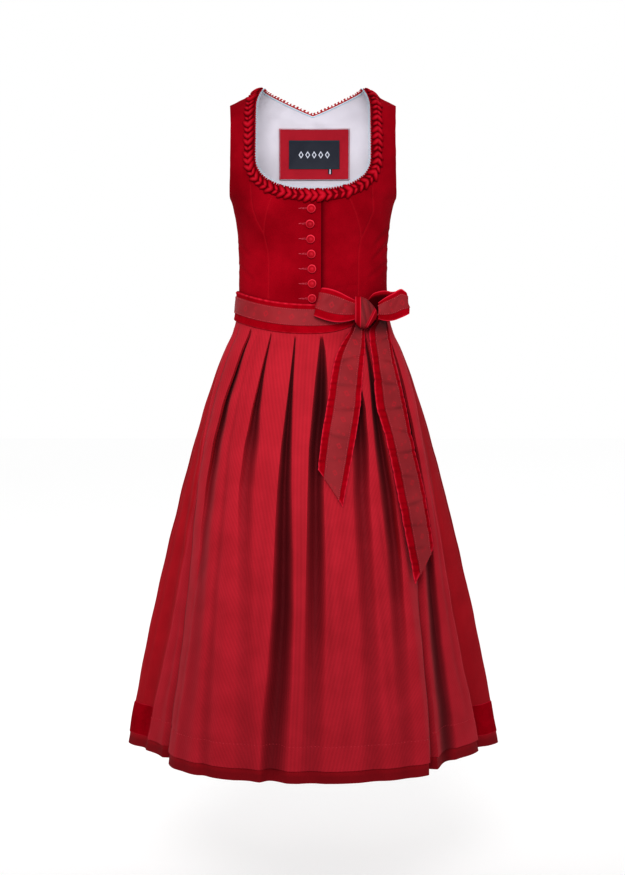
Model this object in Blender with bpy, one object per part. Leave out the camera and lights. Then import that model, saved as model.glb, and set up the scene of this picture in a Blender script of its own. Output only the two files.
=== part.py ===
# A dirndl in its worn form, hollow: velvet bodice, gathered skirt, and an apron with a tied belt.
# The front faces -Y, the wearer's left is +X, and the origin lies between the shoulder seams,
# at the height where the wearer carries the garment. Lengths are metres, angles degrees.

import math
from collections import namedtuple

import bmesh
import bpy
import numpy as np
from mathutils import Vector
from mathutils.geometry import delaunay_2d_cdt

# Cloth and clearances
BODICE_CLOTH = 0.0014
SKIRT_CLOTH = 0.0011
APRON_CLOTH = 0.0011
LINING_CLOTH = 0.0010
BELT_CLOTH = 0.0016
RIBBON_CLOTH = 0.0010
SEAM_GAP = 0.0003
LAYER_GAP = 0.0004
WAIST_GAP = 0.0007
LABEL_GAP = 0.0022

# Heights below the shoulder
UNDERARM_HEIGHT = -0.187
SHOULDER_ARC = 0.26
WAIST_SEAM_FRONT = -0.3885
WAIST_SEAM_SIDE = -0.367
HEM_HEIGHT = -1.136

# Shoulders, armholes and neckline
SHOULDER_TIP_X = 0.143
SHOULDER_TIP_HEIGHT = -0.0245
SHOULDER_SLOPE = 0.50
NECK_POINT_X = 0.087
SECTION_POWER = 2.25
NECKLINE_HALF_WIDTH = 0.098
NECKLINE_CORNER_HEIGHT = -0.118
NECKLINE_CORNER_DROP = 0.0565
NECKLINE_CORNER_POWER = 2.3
BACK_NECK_DROP = 0.033
BUST_X = 0.068
BUST_HEIGHT = -0.205
BUST_FULLNESS = 0.006

# Placket and buttons
PLACKET_EDGE_X = 0.0135
UNDERLAP_EDGE_X = -0.018
UNDERLAP_GAP = 0.0010
UNDERLAP_RISE_START = 0.006
UNDERLAP_RISE = 0.018
BUTTON_SEAT = 0.0008
BUTTON_COUNT = 7
BUTTON_X = -0.0030
BUTTON_TOP_HEIGHT = -0.2046
BUTTON_SPACING = 0.0250
BUTTON_SIDES = 12

# Plaited trimming along the neckline
BRAID_WIDTH = 0.018
BRAID_HEIGHT = 0.0040
BRAID_RELIEF = 0.0018
BRAID_PLAIT = 0.011
BRAID_BASE = 0.0007
BRAID_CURVE_RADIUS = 0.125
BRAID_END_GAP = 0.003

# Belt, bow and hem band
BELT_HALF_HEIGHT = 0.0255
BELT_OFFSET = 0.0024
BELT_COLUMNS = 60
RIBBON_TOP_MARGIN = 0.0090
RIBBON_BOTTOM_MARGIN = 0.0135
KNOT_TURN = 36.6
KNOT_WIDTH = 0.035
KNOT_DEPTH = 0.022
KNOT_HEIGHT = 0.054
KNOT_GAP = 0.0013
BELT_PINCH = 0.46
BELT_PINCH_SPREAD = 20.0
TAIL_STAND_OFF = 0.0046
HEM_BAND_HEIGHT = 0.054
HEM_MARGIN = 0.020
HEM_BAND_CLOTH = 0.0010

# Colours as linear values
VELVET_RED = (0.34, 0.004, 0.008)
APRON_RED = (0.40, 0.012, 0.020)
SKIRT_RED = (0.36, 0.010, 0.018)
RIBBON_RED = (0.34, 0.035, 0.045)
LINING_WHITE = (0.72, 0.70, 0.74)
LABEL_NAVY = (0.022, 0.025, 0.045)

BodySection = namedtuple("BodySection", "height half_width front_depth back_depth")
BODY_SECTIONS = (
    BodySection(-0.440, 0.1390, 0.1090, 0.1020),
    BodySection(-0.413, 0.1350, 0.1030, 0.0965),
    BodySection(-0.387, 0.1315, 0.0990, 0.0930),
    BodySection(-0.360, 0.1290, 0.0965, 0.0905),
    BodySection(-0.320, 0.1278, 0.0965, 0.0895),
    BodySection(-0.288, 0.1280, 0.0995, 0.0900),
    BodySection(-0.250, 0.1296, 0.1075, 0.0935),
    BodySection(-0.220, 0.1335, 0.1160, 0.0980),
    BodySection(-0.200, 0.1375, 0.1205, 0.1010),
    BodySection(-0.187, 0.1412, 0.1220, 0.1030),
    BodySection(-0.178, 0.1470, 0.1224, 0.1036),
    BodySection(-0.162, 0.1530, 0.1230, 0.1045),
    BodySection(-0.120, 0.1600, 0.1230, 0.1060),
    BodySection(0.080, 0.1640, 0.1230, 0.1060),
)

SkirtSection = namedtuple("SkirtSection", "height half_width front_depth back_depth")
SKIRT_SECTIONS = (
    SkirtSection(-0.360, 0.1290, 0.0965, 0.0905),
    SkirtSection(-0.387, 0.1315, 0.0990, 0.0930),
    SkirtSection(-0.413, 0.1385, 0.1045, 0.0980),
    SkirtSection(-0.440, 0.1515, 0.1165, 0.1100),
    SkirtSection(-0.496, 0.1732, 0.1355, 0.1305),
    SkirtSection(-0.600, 0.2058, 0.1660, 0.1630),
    SkirtSection(-0.706, 0.2342, 0.1930, 0.1910),
    SkirtSection(-0.812, 0.2602, 0.2180, 0.2160),
    SkirtSection(-0.918, 0.2845, 0.2415, 0.2390),
    SkirtSection(-1.025, 0.3062, 0.2620, 0.2600),
    SkirtSection(-1.136, 0.3265, 0.2830, 0.2800),
)

# Folds: turn, half width and depth at the waist, thigh, knee and hem. A lean tucks the trough
# under its neighbour on the +X side at the front.
FOLD_STATIONS = (0.035, 0.28, 0.61, 1.0)
Fold = namedtuple("Fold", "waist thigh knee hem narrow wide d_waist d_thigh d_knee d_hem lean")
FRONT_FOLDS = (
    Fold(-84.0, -74.0, -78.5, -81.0, 2.6, 4.5, 0.001, 0.002, 0.004, 0.008, 0.000),
    Fold(-68.0, -62.5, -60.0, -58.5, 3.0, 5.0, 0.002, 0.002, 0.014, 0.030, 0.005),
    Fold(-51.0, -54.5, -47.0, -44.0, 3.4, 4.4, 0.006, 0.018, 0.016, 0.005, 0.000),
    Fold(-41.5, -43.5, -38.5, -35.5, 2.4, 3.4, 0.002, 0.004, 0.008, 0.010, 0.000),
    Fold(-31.0, -32.0, -25.5, -24.0, 3.2, 5.4, 0.006, 0.014, 0.007, 0.003, 0.000),
    Fold(-12.5, -12.8, -11.0, -12.0, 3.2, 4.8, 0.006, 0.020, 0.030, 0.022, 0.000),
    Fold(5.5, 2.4, 1.0, 0.5, 3.8, 4.4, 0.007, 0.024, 0.026, 0.008, 0.000),
    Fold(29.0, 25.0, 20.5, 18.5, 3.2, 4.6, 0.006, 0.020, 0.014, 0.004, 0.000),
    Fold(40.0, 37.0, 32.5, 30.5, 3.2, 4.4, 0.006, 0.024, 0.020, 0.004, 0.000),
    Fold(64.0, 60.0, 49.0, 42.5, 3.8, 5.0, 0.007, 0.022, 0.032, 0.038, -0.006),
    Fold(84.0, 74.0, 77.5, 80.0, 2.6, 4.5, 0.001, 0.002, 0.006, 0.012, 0.000),
)
BACK_FOLDS = (
    Fold(103.0, 104.0, 101.0, 99.0, 3.4, 4.4, 0.006, 0.018, 0.022, 0.026, 0.004),
    Fold(119.0, 121.0, 120.0, 118.0, 3.4, 5.0, 0.006, 0.014, 0.010, 0.004, 0.000),
    Fold(134.0, 138.0, 139.0, 138.0, 3.4, 5.4, 0.006, 0.022, 0.030, 0.028, 0.000),
    Fold(150.0, 154.0, 157.0, 157.0, 3.4, 5.0, 0.006, 0.016, 0.012, 0.006, 0.000),
    Fold(166.0, 171.0, 175.0, 177.0, 3.4, 5.6, 0.006, 0.022, 0.028, 0.024, 0.000),
    Fold(188.0, 189.0, 193.0, 195.0, 3.4, 5.0, 0.006, 0.014, 0.016, 0.010, 0.000),
    Fold(205.0, 207.0, 210.0, 212.0, 3.4, 5.4, 0.006, 0.020, 0.024, 0.020, 0.000),
    Fold(221.0, 224.0, 226.0, 228.0, 3.4, 5.0, 0.006, 0.018, 0.010, 0.004, 0.000),
    Fold(238.0, 241.0, 243.0, 245.0, 3.4, 5.6, 0.006, 0.020, 0.028, 0.030, -0.004),
    Fold(255.0, 257.0, 259.0, 260.0, 3.2, 4.6, 0.004, 0.008, 0.010, 0.008, 0.000),
)
# How far the hem lies inside the plain oval at each turn
HemInset = namedtuple("HemInset", "turn inset")
FRONT_HEM_INSETS = (
    HemInset(-90.0, 0.000), HemInset(-80.0, 0.021), HemInset(-68.0, 0.036), HemInset(-56.0, 0.024),
    HemInset(-44.0, 0.007), HemInset(-33.0, 0.002), HemInset(-18.0, 0.000), HemInset(0.0, 0.000),
    HemInset(26.0, 0.000), HemInset(35.0, 0.002), HemInset(48.0, 0.020), HemInset(60.0, 0.028),
    HemInset(72.0, 0.025), HemInset(81.0, 0.023), HemInset(90.0, 0.000),
)
BACK_HEM_INSETS = (
    HemInset(90.0, 0.000), HemInset(99.0, 0.014), HemInset(112.0, 0.017), HemInset(127.0, 0.006),
    HemInset(145.0, 0.000), HemInset(172.0, 0.006), HemInset(196.0, 0.002), HemInset(222.0, 0.004),
    HemInset(243.0, 0.015), HemInset(258.0, 0.017), HemInset(270.0, 0.000),
)
# Places across one fold, in half widths, and how much of the depth each has
FOLD_PROFILE = ((-1.0, 0.0), (-0.6, 0.30), (-0.22, 0.93), (0.22, 0.93), (0.6, 0.30), (1.0, 0.0))
WIDEST_FOLD_SHARE = 0.45
EDGE_COLUMNS = 2
SKIRT_ROW_SHARES = (0.10, 0.22, 0.38, 0.55, 0.75)

# The bow's loops in plan, with the top and bottom of the ribbon at each place; flare moves the
# bottom edge along X
LoopPlace = namedtuple("LoopPlace", "x y top bottom flare")
LEFT_LOOP = (
    LoopPlace(0.0758, -0.1062, -0.3600, -0.3870, 0.000),
    LoopPlace(0.0600, -0.1155, -0.3520, -0.3920, 0.000),
    LoopPlace(0.0450, -0.1200, -0.3440, -0.3940, -0.003),
    LoopPlace(0.0300, -0.1210, -0.3385, -0.3910, -0.007),
    LoopPlace(0.0180, -0.1195, -0.3365, -0.3850, -0.012),
    LoopPlace(0.0145, -0.1160, -0.3365, -0.3830, -0.013),
    LoopPlace(0.0180, -0.1120, -0.3375, -0.3835, -0.011),
    LoopPlace(0.0300, -0.1095, -0.3410, -0.3870, -0.006),
    LoopPlace(0.0450, -0.1060, -0.3460, -0.3890, -0.002),
    LoopPlace(0.0660, -0.0990, -0.3600, -0.3860, 0.000),
)
RIGHT_LOOP = (
    LoopPlace(0.1050, -0.0830, -0.3600, -0.3860, 0.000),
    LoopPlace(0.1160, -0.0790, -0.3490, -0.3860, 0.000),
    LoopPlace(0.1320, -0.0745, -0.3430, -0.3840, 0.000),
    LoopPlace(0.1480, -0.0705, -0.3410, -0.3820, 0.004),
    LoopPlace(0.1570, -0.0715, -0.3415, -0.3805, 0.006),
    LoopPlace(0.1580, -0.0765, -0.3420, -0.3800, 0.007),
    LoopPlace(0.1500, -0.0825, -0.3440, -0.3840, 0.004),
    LoopPlace(0.1360, -0.0890, -0.3500, -0.3900, 0.000),
    LoopPlace(0.1220, -0.0940, -0.3570, -0.3910, 0.000),
    LoopPlace(0.1115, -0.0940, -0.3620, -0.3870, 0.000),
)

# The bow's tails: the edges of the ribbon at each height, and how far it stands off the apron
TailPlace = namedtuple("TailPlace", "height left right stand_off")
LEFT_TAIL = (
    TailPlace(-0.4063, 0.0585, 0.0795, 0.0115),
    TailPlace(-0.4200, 0.0478, 0.0795, 0.0080),
    TailPlace(-0.4450, 0.0415, 0.0835, TAIL_STAND_OFF),
    TailPlace(-0.4900, 0.0291, 0.0813, TAIL_STAND_OFF),
    TailPlace(-0.5600, 0.0190, 0.0705, TAIL_STAND_OFF),
    TailPlace(-0.6300, 0.0092, 0.0603, TAIL_STAND_OFF),
)
RIGHT_TAIL = (
    TailPlace(-0.4056, 0.0925, 0.1180, 0.0115),
    TailPlace(-0.4200, 0.0900, 0.1260, 0.0080),
    TailPlace(-0.4450, 0.0920, 0.1320, TAIL_STAND_OFF),
    TailPlace(-0.4900, 0.1024, 0.1460, TAIL_STAND_OFF),
    TailPlace(-0.5600, 0.1140, 0.1590, TAIL_STAND_OFF),
    TailPlace(-0.6300, 0.1256, 0.1724, TAIL_STAND_OFF),
    TailPlace(-0.7000, 0.1410, 0.1860, TAIL_STAND_OFF),
    TailPlace(-0.7680, 0.1550, 0.1980, TAIL_STAND_OFF),
)
LEFT_TAIL_POINT = 0.061
RIGHT_TAIL_POINT = -0.055


# Clearing the scene and making materials

def clear_scene():
    for thing in list(bpy.data.objects):
        bpy.data.objects.remove(thing, do_unlink=True)


def cloth_material(name, colour, roughness):
    material = bpy.data.materials.new(name)
    material.use_nodes = True
    shader = material.node_tree.nodes["Principled BSDF"]
    shader.inputs["Base Color"].default_value = (*colour, 1.0)
    shader.inputs["Roughness"].default_value = roughness
    shader.inputs["Metallic"].default_value = 0.0
    return material


# Smooth values between the rows of a table

def between(stations, values, place):
    xs = np.asarray(stations, dtype=float)
    ys = np.asarray(values, dtype=float)
    if xs[0] > xs[-1]:
        xs, ys = xs[::-1], ys[::-1]
    steps = np.diff(xs)
    slopes = np.diff(ys) / steps
    tangents = np.empty_like(ys)
    tangents[0], tangents[-1] = slopes[0], slopes[-1]
    for i in range(1, len(xs) - 1):
        product = slopes[i - 1] * slopes[i]
        tangents[i] = 2 * product / (slopes[i - 1] + slopes[i]) if product > 0 else 0.0
    place = min(max(place, xs[0]), xs[-1])
    i = min(max(int(np.searchsorted(xs, place)) - 1, 0), len(xs) - 2)
    u = (place - xs[i]) / steps[i]
    start = (2 * u ** 3 - 3 * u ** 2 + 1) * ys[i] + (u ** 3 - 2 * u ** 2 + u) * steps[i] * tangents[i]
    end = (3 * u ** 2 - 2 * u ** 3) * ys[i + 1] + (u ** 3 - u ** 2) * steps[i] * tangents[i + 1]
    return start + end


def table_value(table, column, height):
    return between([row.height for row in table], [getattr(row, column) for row in table], height)


def smooth_step(value):
    value = min(max(value, 0.0), 1.0)
    return value * value * (3 - 2 * value)


def signed_power(value, power):
    return math.copysign(abs(value) ** power, value)


# The body of the bodice: turn runs from centre front to the wearer's left, height runs up the cloth

def shoulder_height(x):
    return SHOULDER_TIP_HEIGHT + SHOULDER_SLOPE * (SHOULDER_TIP_X - abs(x))


def shoulder_lean(height):
    share = (height - UNDERARM_HEIGHT) / SHOULDER_ARC
    return min(max(share, 0.0), 1.0) * math.pi / 2


def body_point(turn, height):
    angle = math.radians(turn)
    lean = shoulder_lean(height)
    power = 2 / SECTION_POWER
    x = table_value(BODY_SECTIONS, "half_width", height) * signed_power(math.sin(angle), power)
    side = "front_depth" if math.cos(angle) > 0 else "back_depth"
    depth = table_value(BODY_SECTIONS, side, height) * math.cos(lean) ** 0.9
    y = -depth * signed_power(math.cos(angle), power)
    z = height
    if lean > 0:
        z = UNDERARM_HEIGHT + (shoulder_height(x) - UNDERARM_HEIGHT) * math.sin(lean)
    if math.cos(angle) > 0:
        across = (abs(x) - BUST_X) / 0.045
        up = (z - BUST_HEIGHT) / 0.048
        y -= BUST_FULLNESS * math.exp(-across ** 2 - up ** 2)
    return Vector((x, y, z))


def body_normal(turn, height):
    top = UNDERARM_HEIGHT + SHOULDER_ARC
    around = body_point(turn + 0.4, height) - body_point(turn - 0.4, height)
    up = body_point(turn, min(height + 0.002, top)) - body_point(turn, height - 0.002)
    return around.cross(up).normalized()


def turn_at(x, height, back=False):
    share = min(abs(x) / table_value(BODY_SECTIONS, "half_width", height), 1.0)
    turn = math.degrees(math.asin(share ** (SECTION_POWER / 2)))
    turn = math.copysign(turn, x)
    return 180 - turn if back else turn


def height_at(x, z):
    if z <= UNDERARM_HEIGHT:
        return z
    share = (z - UNDERARM_HEIGHT) / (shoulder_height(x) - UNDERARM_HEIGHT)
    return UNDERARM_HEIGHT + SHOULDER_ARC * math.asin(min(share, 1.0)) * 2 / math.pi


def waist_seam(turn):
    front = max(math.cos(math.radians(turn)), 0.0)
    return WAIST_SEAM_SIDE + (WAIST_SEAM_FRONT - WAIST_SEAM_SIDE) * front ** 2


# Solids from a pattern outline: the outline is filled with an even net, laid on a form and thickened

PATTERN_METRES_PER_DEGREE = 0.0023
FRONT_NET = 0.020
BACK_NET = 0.030


def to_pattern(turn, height):
    return Vector((turn * PATTERN_METRES_PER_DEGREE, height))


def inside_outline(point, outline, spacing):
    inside = False
    nearest = 1.0
    for a, b in zip(outline, outline[1:] + outline[:1]):
        edge = b - a
        along = min(max((point - a).dot(edge) / edge.length_squared, 0.0), 1.0)
        nearest = min(nearest, (point - a - edge * along).length)
        if (a.y > point.y) != (b.y > point.y):
            if point.x < a.x + (point.y - a.y) * edge.x / edge.y:
                inside = not inside
    return inside and nearest > 0.5 * spacing


def net_points(outline, spacing):
    low_x, high_x = min(p.x for p in outline), max(p.x for p in outline)
    low_y, high_y = min(p.y for p in outline), max(p.y for p in outline)
    row_step = spacing * math.sqrt(3) / 2
    points = []
    for row in range(int((high_y - low_y) / row_step) + 1):
        shift = 0.5 * spacing if row % 2 else 0.0
        for column in range(int((high_x - low_x) / spacing) + 1):
            point = Vector((low_x + shift + column * spacing, low_y + row * row_step))
            if inside_outline(point, outline, spacing):
                points.append(point)
    return points


def make_solid(name, points, faces, material):
    mesh = bpy.data.meshes.new(name)
    mesh.from_pydata([tuple(p) for p in points], [], faces)
    form = bmesh.new()
    form.from_mesh(mesh)
    bmesh.ops.triangulate(form, faces=[f for f in form.faces if len(f.verts) > 3])
    bmesh.ops.recalc_face_normals(form, faces=form.faces)
    form.to_mesh(mesh)
    form.free()
    mesh.shade_smooth()
    mesh.set_sharp_from_angle(angle=math.radians(50))
    mesh.materials.append(material)
    solid = bpy.data.objects.new(name, mesh)
    bpy.context.collection.objects.link(solid)
    return solid


def panel(name, outline, spacing, place, material):
    """Fill an outline of pattern points; place gives the outer and inner point for each of them."""
    outline = list(outline)
    points = outline + net_points(outline, spacing)
    edges = [(i, (i + 1) % len(outline)) for i in range(len(outline))]
    net = delaunay_2d_cdt(points, edges, [], 1, 1e-7)
    flat, triangles = net[0], net[2]
    order = {tuple(p): i for i, p in enumerate(flat)}
    rim = [order[min(order, key=lambda q, p=p: (q[0] - p.x) ** 2 + (q[1] - p.y) ** 2)] for p in outline]
    outer, inner = [], []
    for p in flat:
        turn = p.x / PATTERN_METRES_PER_DEGREE
        outer_point, inner_point = place(turn, p.y)
        outer.append(outer_point)
        inner.append(inner_point)
    count = len(flat)
    faces = [tuple(t) for t in triangles]
    faces += [tuple(i + count for i in reversed(t)) for t in triangles]
    for a, b in zip(rim, rim[1:] + rim[:1]):
        faces.append((b, a, a + count))
        faces.append((b, a + count, b + count))
    return make_solid(name, outer + inner, faces, material)


# Solids from rows of outer and inner points

def grid_wall(name, outer, inner, material, closed=False):
    rows, columns = len(outer), len(outer[0])
    points = [p for row in outer for p in row] + [p for row in inner for p in row]
    count = rows * columns
    last = columns if closed else columns - 1

    def corner(row, column, layer=0):
        return layer * count + row * columns + column % columns

    faces = []
    for r in range(rows - 1):
        for c in range(last):
            a, b = corner(r, c), corner(r, c + 1)
            d, e = corner(r + 1, c), corner(r + 1, c + 1)
            faces += [(a, d, e), (a, e, b)]
            faces += [(a + count, e + count, d + count), (a + count, b + count, e + count)]
    for c in range(last):
        top, bottom = 0, rows - 1
        a, b = corner(top, c), corner(top, c + 1)
        faces += [(a, b, b + count), (a, b + count, a + count)]
        a, b = corner(bottom, c), corner(bottom, c + 1)
        faces += [(b, a, a + count), (b, a + count, b + count)]
    if not closed:
        for r in range(rows - 1):
            a, d = corner(r, 0), corner(r + 1, 0)
            faces += [(d, a, a + count), (d, a + count, d + count)]
            a, d = corner(r, columns - 1), corner(r + 1, columns - 1)
            faces += [(a, d, d + count), (a, d + count, a + count)]
    return make_solid(name, points, faces, material)


# Bodice outlines

def half_neckline(inset, count=40):
    """Places from the centre front up to the shoulder, moved out from the neck edge by inset."""
    places = []
    power = 2 / NECKLINE_CORNER_POWER
    width = NECKLINE_HALF_WIDTH + inset
    drop = NECKLINE_CORNER_DROP + inset
    for i in range(count):
        angle = math.pi / 2 * i / (count - 1)
        x = width * math.sin(angle) ** power
        z = NECKLINE_CORNER_HEIGHT - drop * math.cos(angle) ** power
        places.append((x, height_at(x, z)))
    low = places[-1][1]
    high = UNDERARM_HEIGHT + SHOULDER_ARC
    for i in range(1, count):
        height = low + (high - low) * i / (count - 1)
        turn_in = smooth_step((shoulder_lean(height) - 1.0) / (math.pi / 2 - 1.0))
        x = width - (NECKLINE_HALF_WIDTH - NECK_POINT_X) * turn_in
        places.append((x, height))
    return places


def even_places(places, step):
    """Pick places at an even spacing along the cloth."""
    solid = [body_point(turn_at(x, height), height) for x, height in places]
    run = [0.0]
    for a, b in zip(solid, solid[1:]):
        run.append(run[-1] + (b - a).length)
    count = max(2, round(run[-1] / step) + 1)
    picks = np.linspace(0, run[-1], count)
    xs = np.interp(picks, run, [p[0] for p in places])
    heights = np.interp(picks, run, [p[1] for p in places])
    return list(zip(xs, heights))


def armhole(back=False):
    """Places from the shoulder tip down to the underarm, on the wearer's left."""
    top = UNDERARM_HEIGHT + SHOULDER_ARC
    heights = [top, 0.045, 0.010, -0.030, -0.070, -0.110, -0.140, -0.162, -0.175, -0.182]
    scoop = 0.0035 if back else 0.0030
    places = []
    for height in heights:
        share = (height - UNDERARM_HEIGHT) / SHOULDER_ARC
        x = SHOULDER_TIP_X - scoop * math.sin(math.pi * share ** 0.8)
        places.append((x, height))
    places.append((table_value(BODY_SECTIONS, "half_width", UNDERARM_HEIGHT), UNDERARM_HEIGHT))
    return places


def side_heights():
    return [UNDERARM_HEIGHT, -0.215, -0.245, -0.275, -0.305, -0.335, WAIST_SEAM_SIDE]


def bottom_turns(start, end, step=9.0):
    count = max(2, round(abs(end - start) / step) + 1)
    return list(np.linspace(start, end, count))


def front_outline(side, edge_x):
    """Outline of one front: side is -1 for the wearer's right, +1 for the left; edge_x ends it."""
    neck = half_neckline(0.0)
    mirrored = [(-x, h) for x, h in reversed(neck)]
    across = mirrored + neck[1:] if side < 0 else [(-x, h) for x, h in mirrored + neck[1:]]
    run = [p for p in across if (p[0] < edge_x if side < 0 else p[0] > edge_x)]
    run = even_places(run + [(edge_x, run_end_height(edge_x))], 0.011)
    shoulder_top = UNDERARM_HEIGHT + SHOULDER_ARC
    points = [(turn_at(x, h), h) for x, h in run]
    edge_turn = points[-1][0]
    low_turn = turn_at(edge_x, waist_seam(edge_turn))
    heights = np.linspace(run[-1][1], waist_seam(low_turn), 10)[1:]
    points += [(turn_at(edge_x, h), h) for h in heights]
    points += [(t, waist_seam(t)) for t in bottom_turns(low_turn, 90.0 * side)[1:]]
    points += [(90.0 * side, h) for h in reversed(side_heights()[:-1])]
    tip = [(side * x, h) for x, h in armhole()[:-1]]
    points += [(turn_at(x, h), h) for x, h in reversed(tip)]
    middle = 0.5 * (SHOULDER_TIP_X + NECK_POINT_X)
    points.append((turn_at(side * middle, shoulder_top), shoulder_top))
    if side > 0:
        points = points[::-1]
    return [to_pattern(t, h) for t, h in points]


def run_end_height(x):
    share = (abs(x) / NECKLINE_HALF_WIDTH) ** NECKLINE_CORNER_POWER
    drop = NECKLINE_CORNER_DROP * (1 - share) ** (1 / NECKLINE_CORNER_POWER)
    return height_at(x, NECKLINE_CORNER_HEIGHT - drop)


def back_outline():
    """Outline of the back from side seam to side seam, with the shallow V at the neck."""
    shoulder_top = UNDERARM_HEIGHT + SHOULDER_ARC
    left_hole = [(turn_at(x, h, True), h) for x, h in armhole(True)[:-1]]
    middle = 0.5 * (SHOULDER_TIP_X + NECK_POINT_X)
    shoulder = [(turn_at(middle, shoulder_top, True), shoulder_top)]
    neck = []
    for x in np.linspace(NECK_POINT_X, 0.0, 9):
        share = x / NECK_POINT_X
        z = -BACK_NECK_DROP + (shoulder_height(NECK_POINT_X) + BACK_NECK_DROP) * share ** 1.05
        neck.append((turn_at(x, height_at(x, z), True), height_at(x, z)))
    half = [(90.0, h) for h in reversed(side_heights()[:-1])] + left_hole[::-1] + shoulder + neck
    mirrored = [(360.0 - t, h) for t, h in reversed(half[:-1])]
    bottom = [(t, waist_seam(t)) for t in bottom_turns(270.0, 90.0)]
    return [to_pattern(t, h) for t, h in (half + mirrored + bottom)[::-1]]


def body_wall(turn, height, out, thickness, seam_shift):
    point = body_point(turn, height)
    normal = body_normal(turn, height)
    shift = Vector((0, seam_shift, 0))
    return point + normal * out + shift, point + normal * (out - thickness) + shift


def underlap_sink(x):
    past_edge = (x - PLACKET_EDGE_X - UNDERLAP_RISE_START) / UNDERLAP_RISE
    return (BODICE_CLOTH + UNDERLAP_GAP) * (1 - smooth_step(past_edge))


def make_bodice(velvet, lining):
    half_gap = SEAM_GAP / 2

    def right_front(turn, height):
        return body_wall(turn, height, 0.0, BODICE_CLOTH, -half_gap)

    def left_front(turn, height):
        x = body_point(turn, height).x
        return body_wall(turn, height, -underlap_sink(x), BODICE_CLOTH, -half_gap)

    def back(turn, height):
        return body_wall(turn, height, 0.0, BODICE_CLOTH, half_gap)

    def back_inside(turn, height):
        out = -BODICE_CLOTH - LAYER_GAP
        return body_wall(turn, height, out, LINING_CLOTH, half_gap)

    panel("bodice_front_right", front_outline(-1, PLACKET_EDGE_X), FRONT_NET, right_front, velvet)
    panel("bodice_front_left", front_outline(1, UNDERLAP_EDGE_X), FRONT_NET, left_front, velvet)
    panel("bodice_back", back_outline(), BACK_NET, back, velvet)
    panel("back_lining", back_outline(), BACK_NET, back_inside, lining)


def make_braid(velvet):
    half = BRAID_WIDTH / 2
    rows = (-half, -half / 2, 0.0, half / 2, half)
    low = BRAID_HEIGHT * 0.5
    for name, side in (("neck_braid_right", -1), ("neck_braid_left", 1)):
        centre = half_neckline(half)
        across = [(-x, h) for x, h in reversed(centre)] + centre[1:]
        if side < 0:
            run = [p for p in across if p[0] < PLACKET_EDGE_X - SEAM_GAP]
        else:
            run = [p for p in across if p[0] > PLACKET_EDGE_X + SEAM_GAP][::-1]
        top = UNDERARM_HEIGHT + SHOULDER_ARC - BRAID_END_GAP
        places = even_places([p for p in run if p[1] < top], BRAID_PLAIT / 2)
        centres = [body_point(turn_at(x, h), h) for x, h in places]
        normals = [body_normal(turn_at(x, h), h) for x, h in places]
        outer = [[] for _ in rows]
        inner = [[] for _ in rows]
        for i, (point, normal) in enumerate(zip(centres, normals)):
            ahead = centres[min(i + 1, len(centres) - 1)] - centres[max(i - 1, 0)]
            along = ahead.normalized()
            across_way = normal.cross(along).normalized() * side
            for r, offset in enumerate(rows):
                edge = abs(offset) / half
                plait = BRAID_RELIEF if (i + round(2 * edge)) % 2 else 0.0
                height = BRAID_BASE + low + (BRAID_HEIGHT - low) * (1 - edge ** 2) + plait * (1 - 0.5 * edge)
                base = point + across_way * offset + Vector((0, -SEAM_GAP / 2, 0))
                drop = offset ** 2 / (2 * BRAID_CURVE_RADIUS)
                outer[r].append(base + normal * (height - drop))
                inner[r].append(base + normal * (BRAID_BASE - drop))
        grid_wall(name, outer, inner, velvet)


def make_buttons(velvet):
    profile = ((0.0060, 0.0), (0.00725, 0.0015), (0.0071, 0.0036), (0.0052, 0.0033), (0.0030, 0.0043))
    for number in range(BUTTON_COUNT):
        height = BUTTON_TOP_HEIGHT - number * BUTTON_SPACING
        turn = turn_at(BUTTON_X, height)
        normal = body_normal(turn, height)
        centre = body_point(turn, height) + normal * BUTTON_SEAT
        across = Vector((0, 0, 1)).cross(normal).normalized()
        up = normal.cross(across)
        points, faces = [], []
        for radius, rise in profile:
            for side in range(BUTTON_SIDES):
                angle = 2 * math.pi * side / BUTTON_SIDES
                points.append(centre + across * radius * math.cos(angle) + up * radius * math.sin(angle)
                              + normal * rise)
        for ring in range(len(profile) - 1):
            for side in range(BUTTON_SIDES):
                a = ring * BUTTON_SIDES + side
                b = ring * BUTTON_SIDES + (side + 1) % BUTTON_SIDES
                faces.append((a, b, b + BUTTON_SIDES, a + BUTTON_SIDES))
        faces.append(tuple(reversed(range(BUTTON_SIDES))))
        last = (len(profile) - 1) * BUTTON_SIDES
        faces.append(tuple(range(last, last + BUTTON_SIDES)))
        make_solid(f"button_{number + 1}", points, faces, velvet)


def make_label(patch_cloth, label_cloth):
    inside = BODICE_CLOTH + LAYER_GAP + LINING_CLOTH
    pieces = (
        ("label_patch", 0.0022, 0.124, -0.0990, 0.0875, 0.0012, inside + LABEL_GAP, patch_cloth),
        ("label", 0.0022, 0.092, -0.0990, 0.0506, 0.0010, inside + LABEL_GAP + 0.0016, label_cloth),
        ("label_tab", 0.0310, 0.007, -0.1290, 0.0088, 0.0008, inside + LABEL_GAP + 0.0016, label_cloth),
    )
    for name, x_middle, width, z_middle, tall, thickness, depth, cloth in pieces:
        outer, inner = [], []
        for row in range(6):
            z = z_middle + tall * (0.5 - row / 5)
            outer_row, inner_row = [], []
            for column in range(7):
                x = x_middle - width * (column / 6 - 0.5)
                height = height_at(x, z)
                turn = turn_at(x, height, True)
                near, far = body_wall(turn, height, -depth, thickness, SEAM_GAP / 2)
                outer_row.append(near)
                inner_row.append(far)
            outer.append(outer_row)
            inner.append(inner_row)
        grid_wall(name, outer, inner, cloth)


# Belt round the waist

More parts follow.
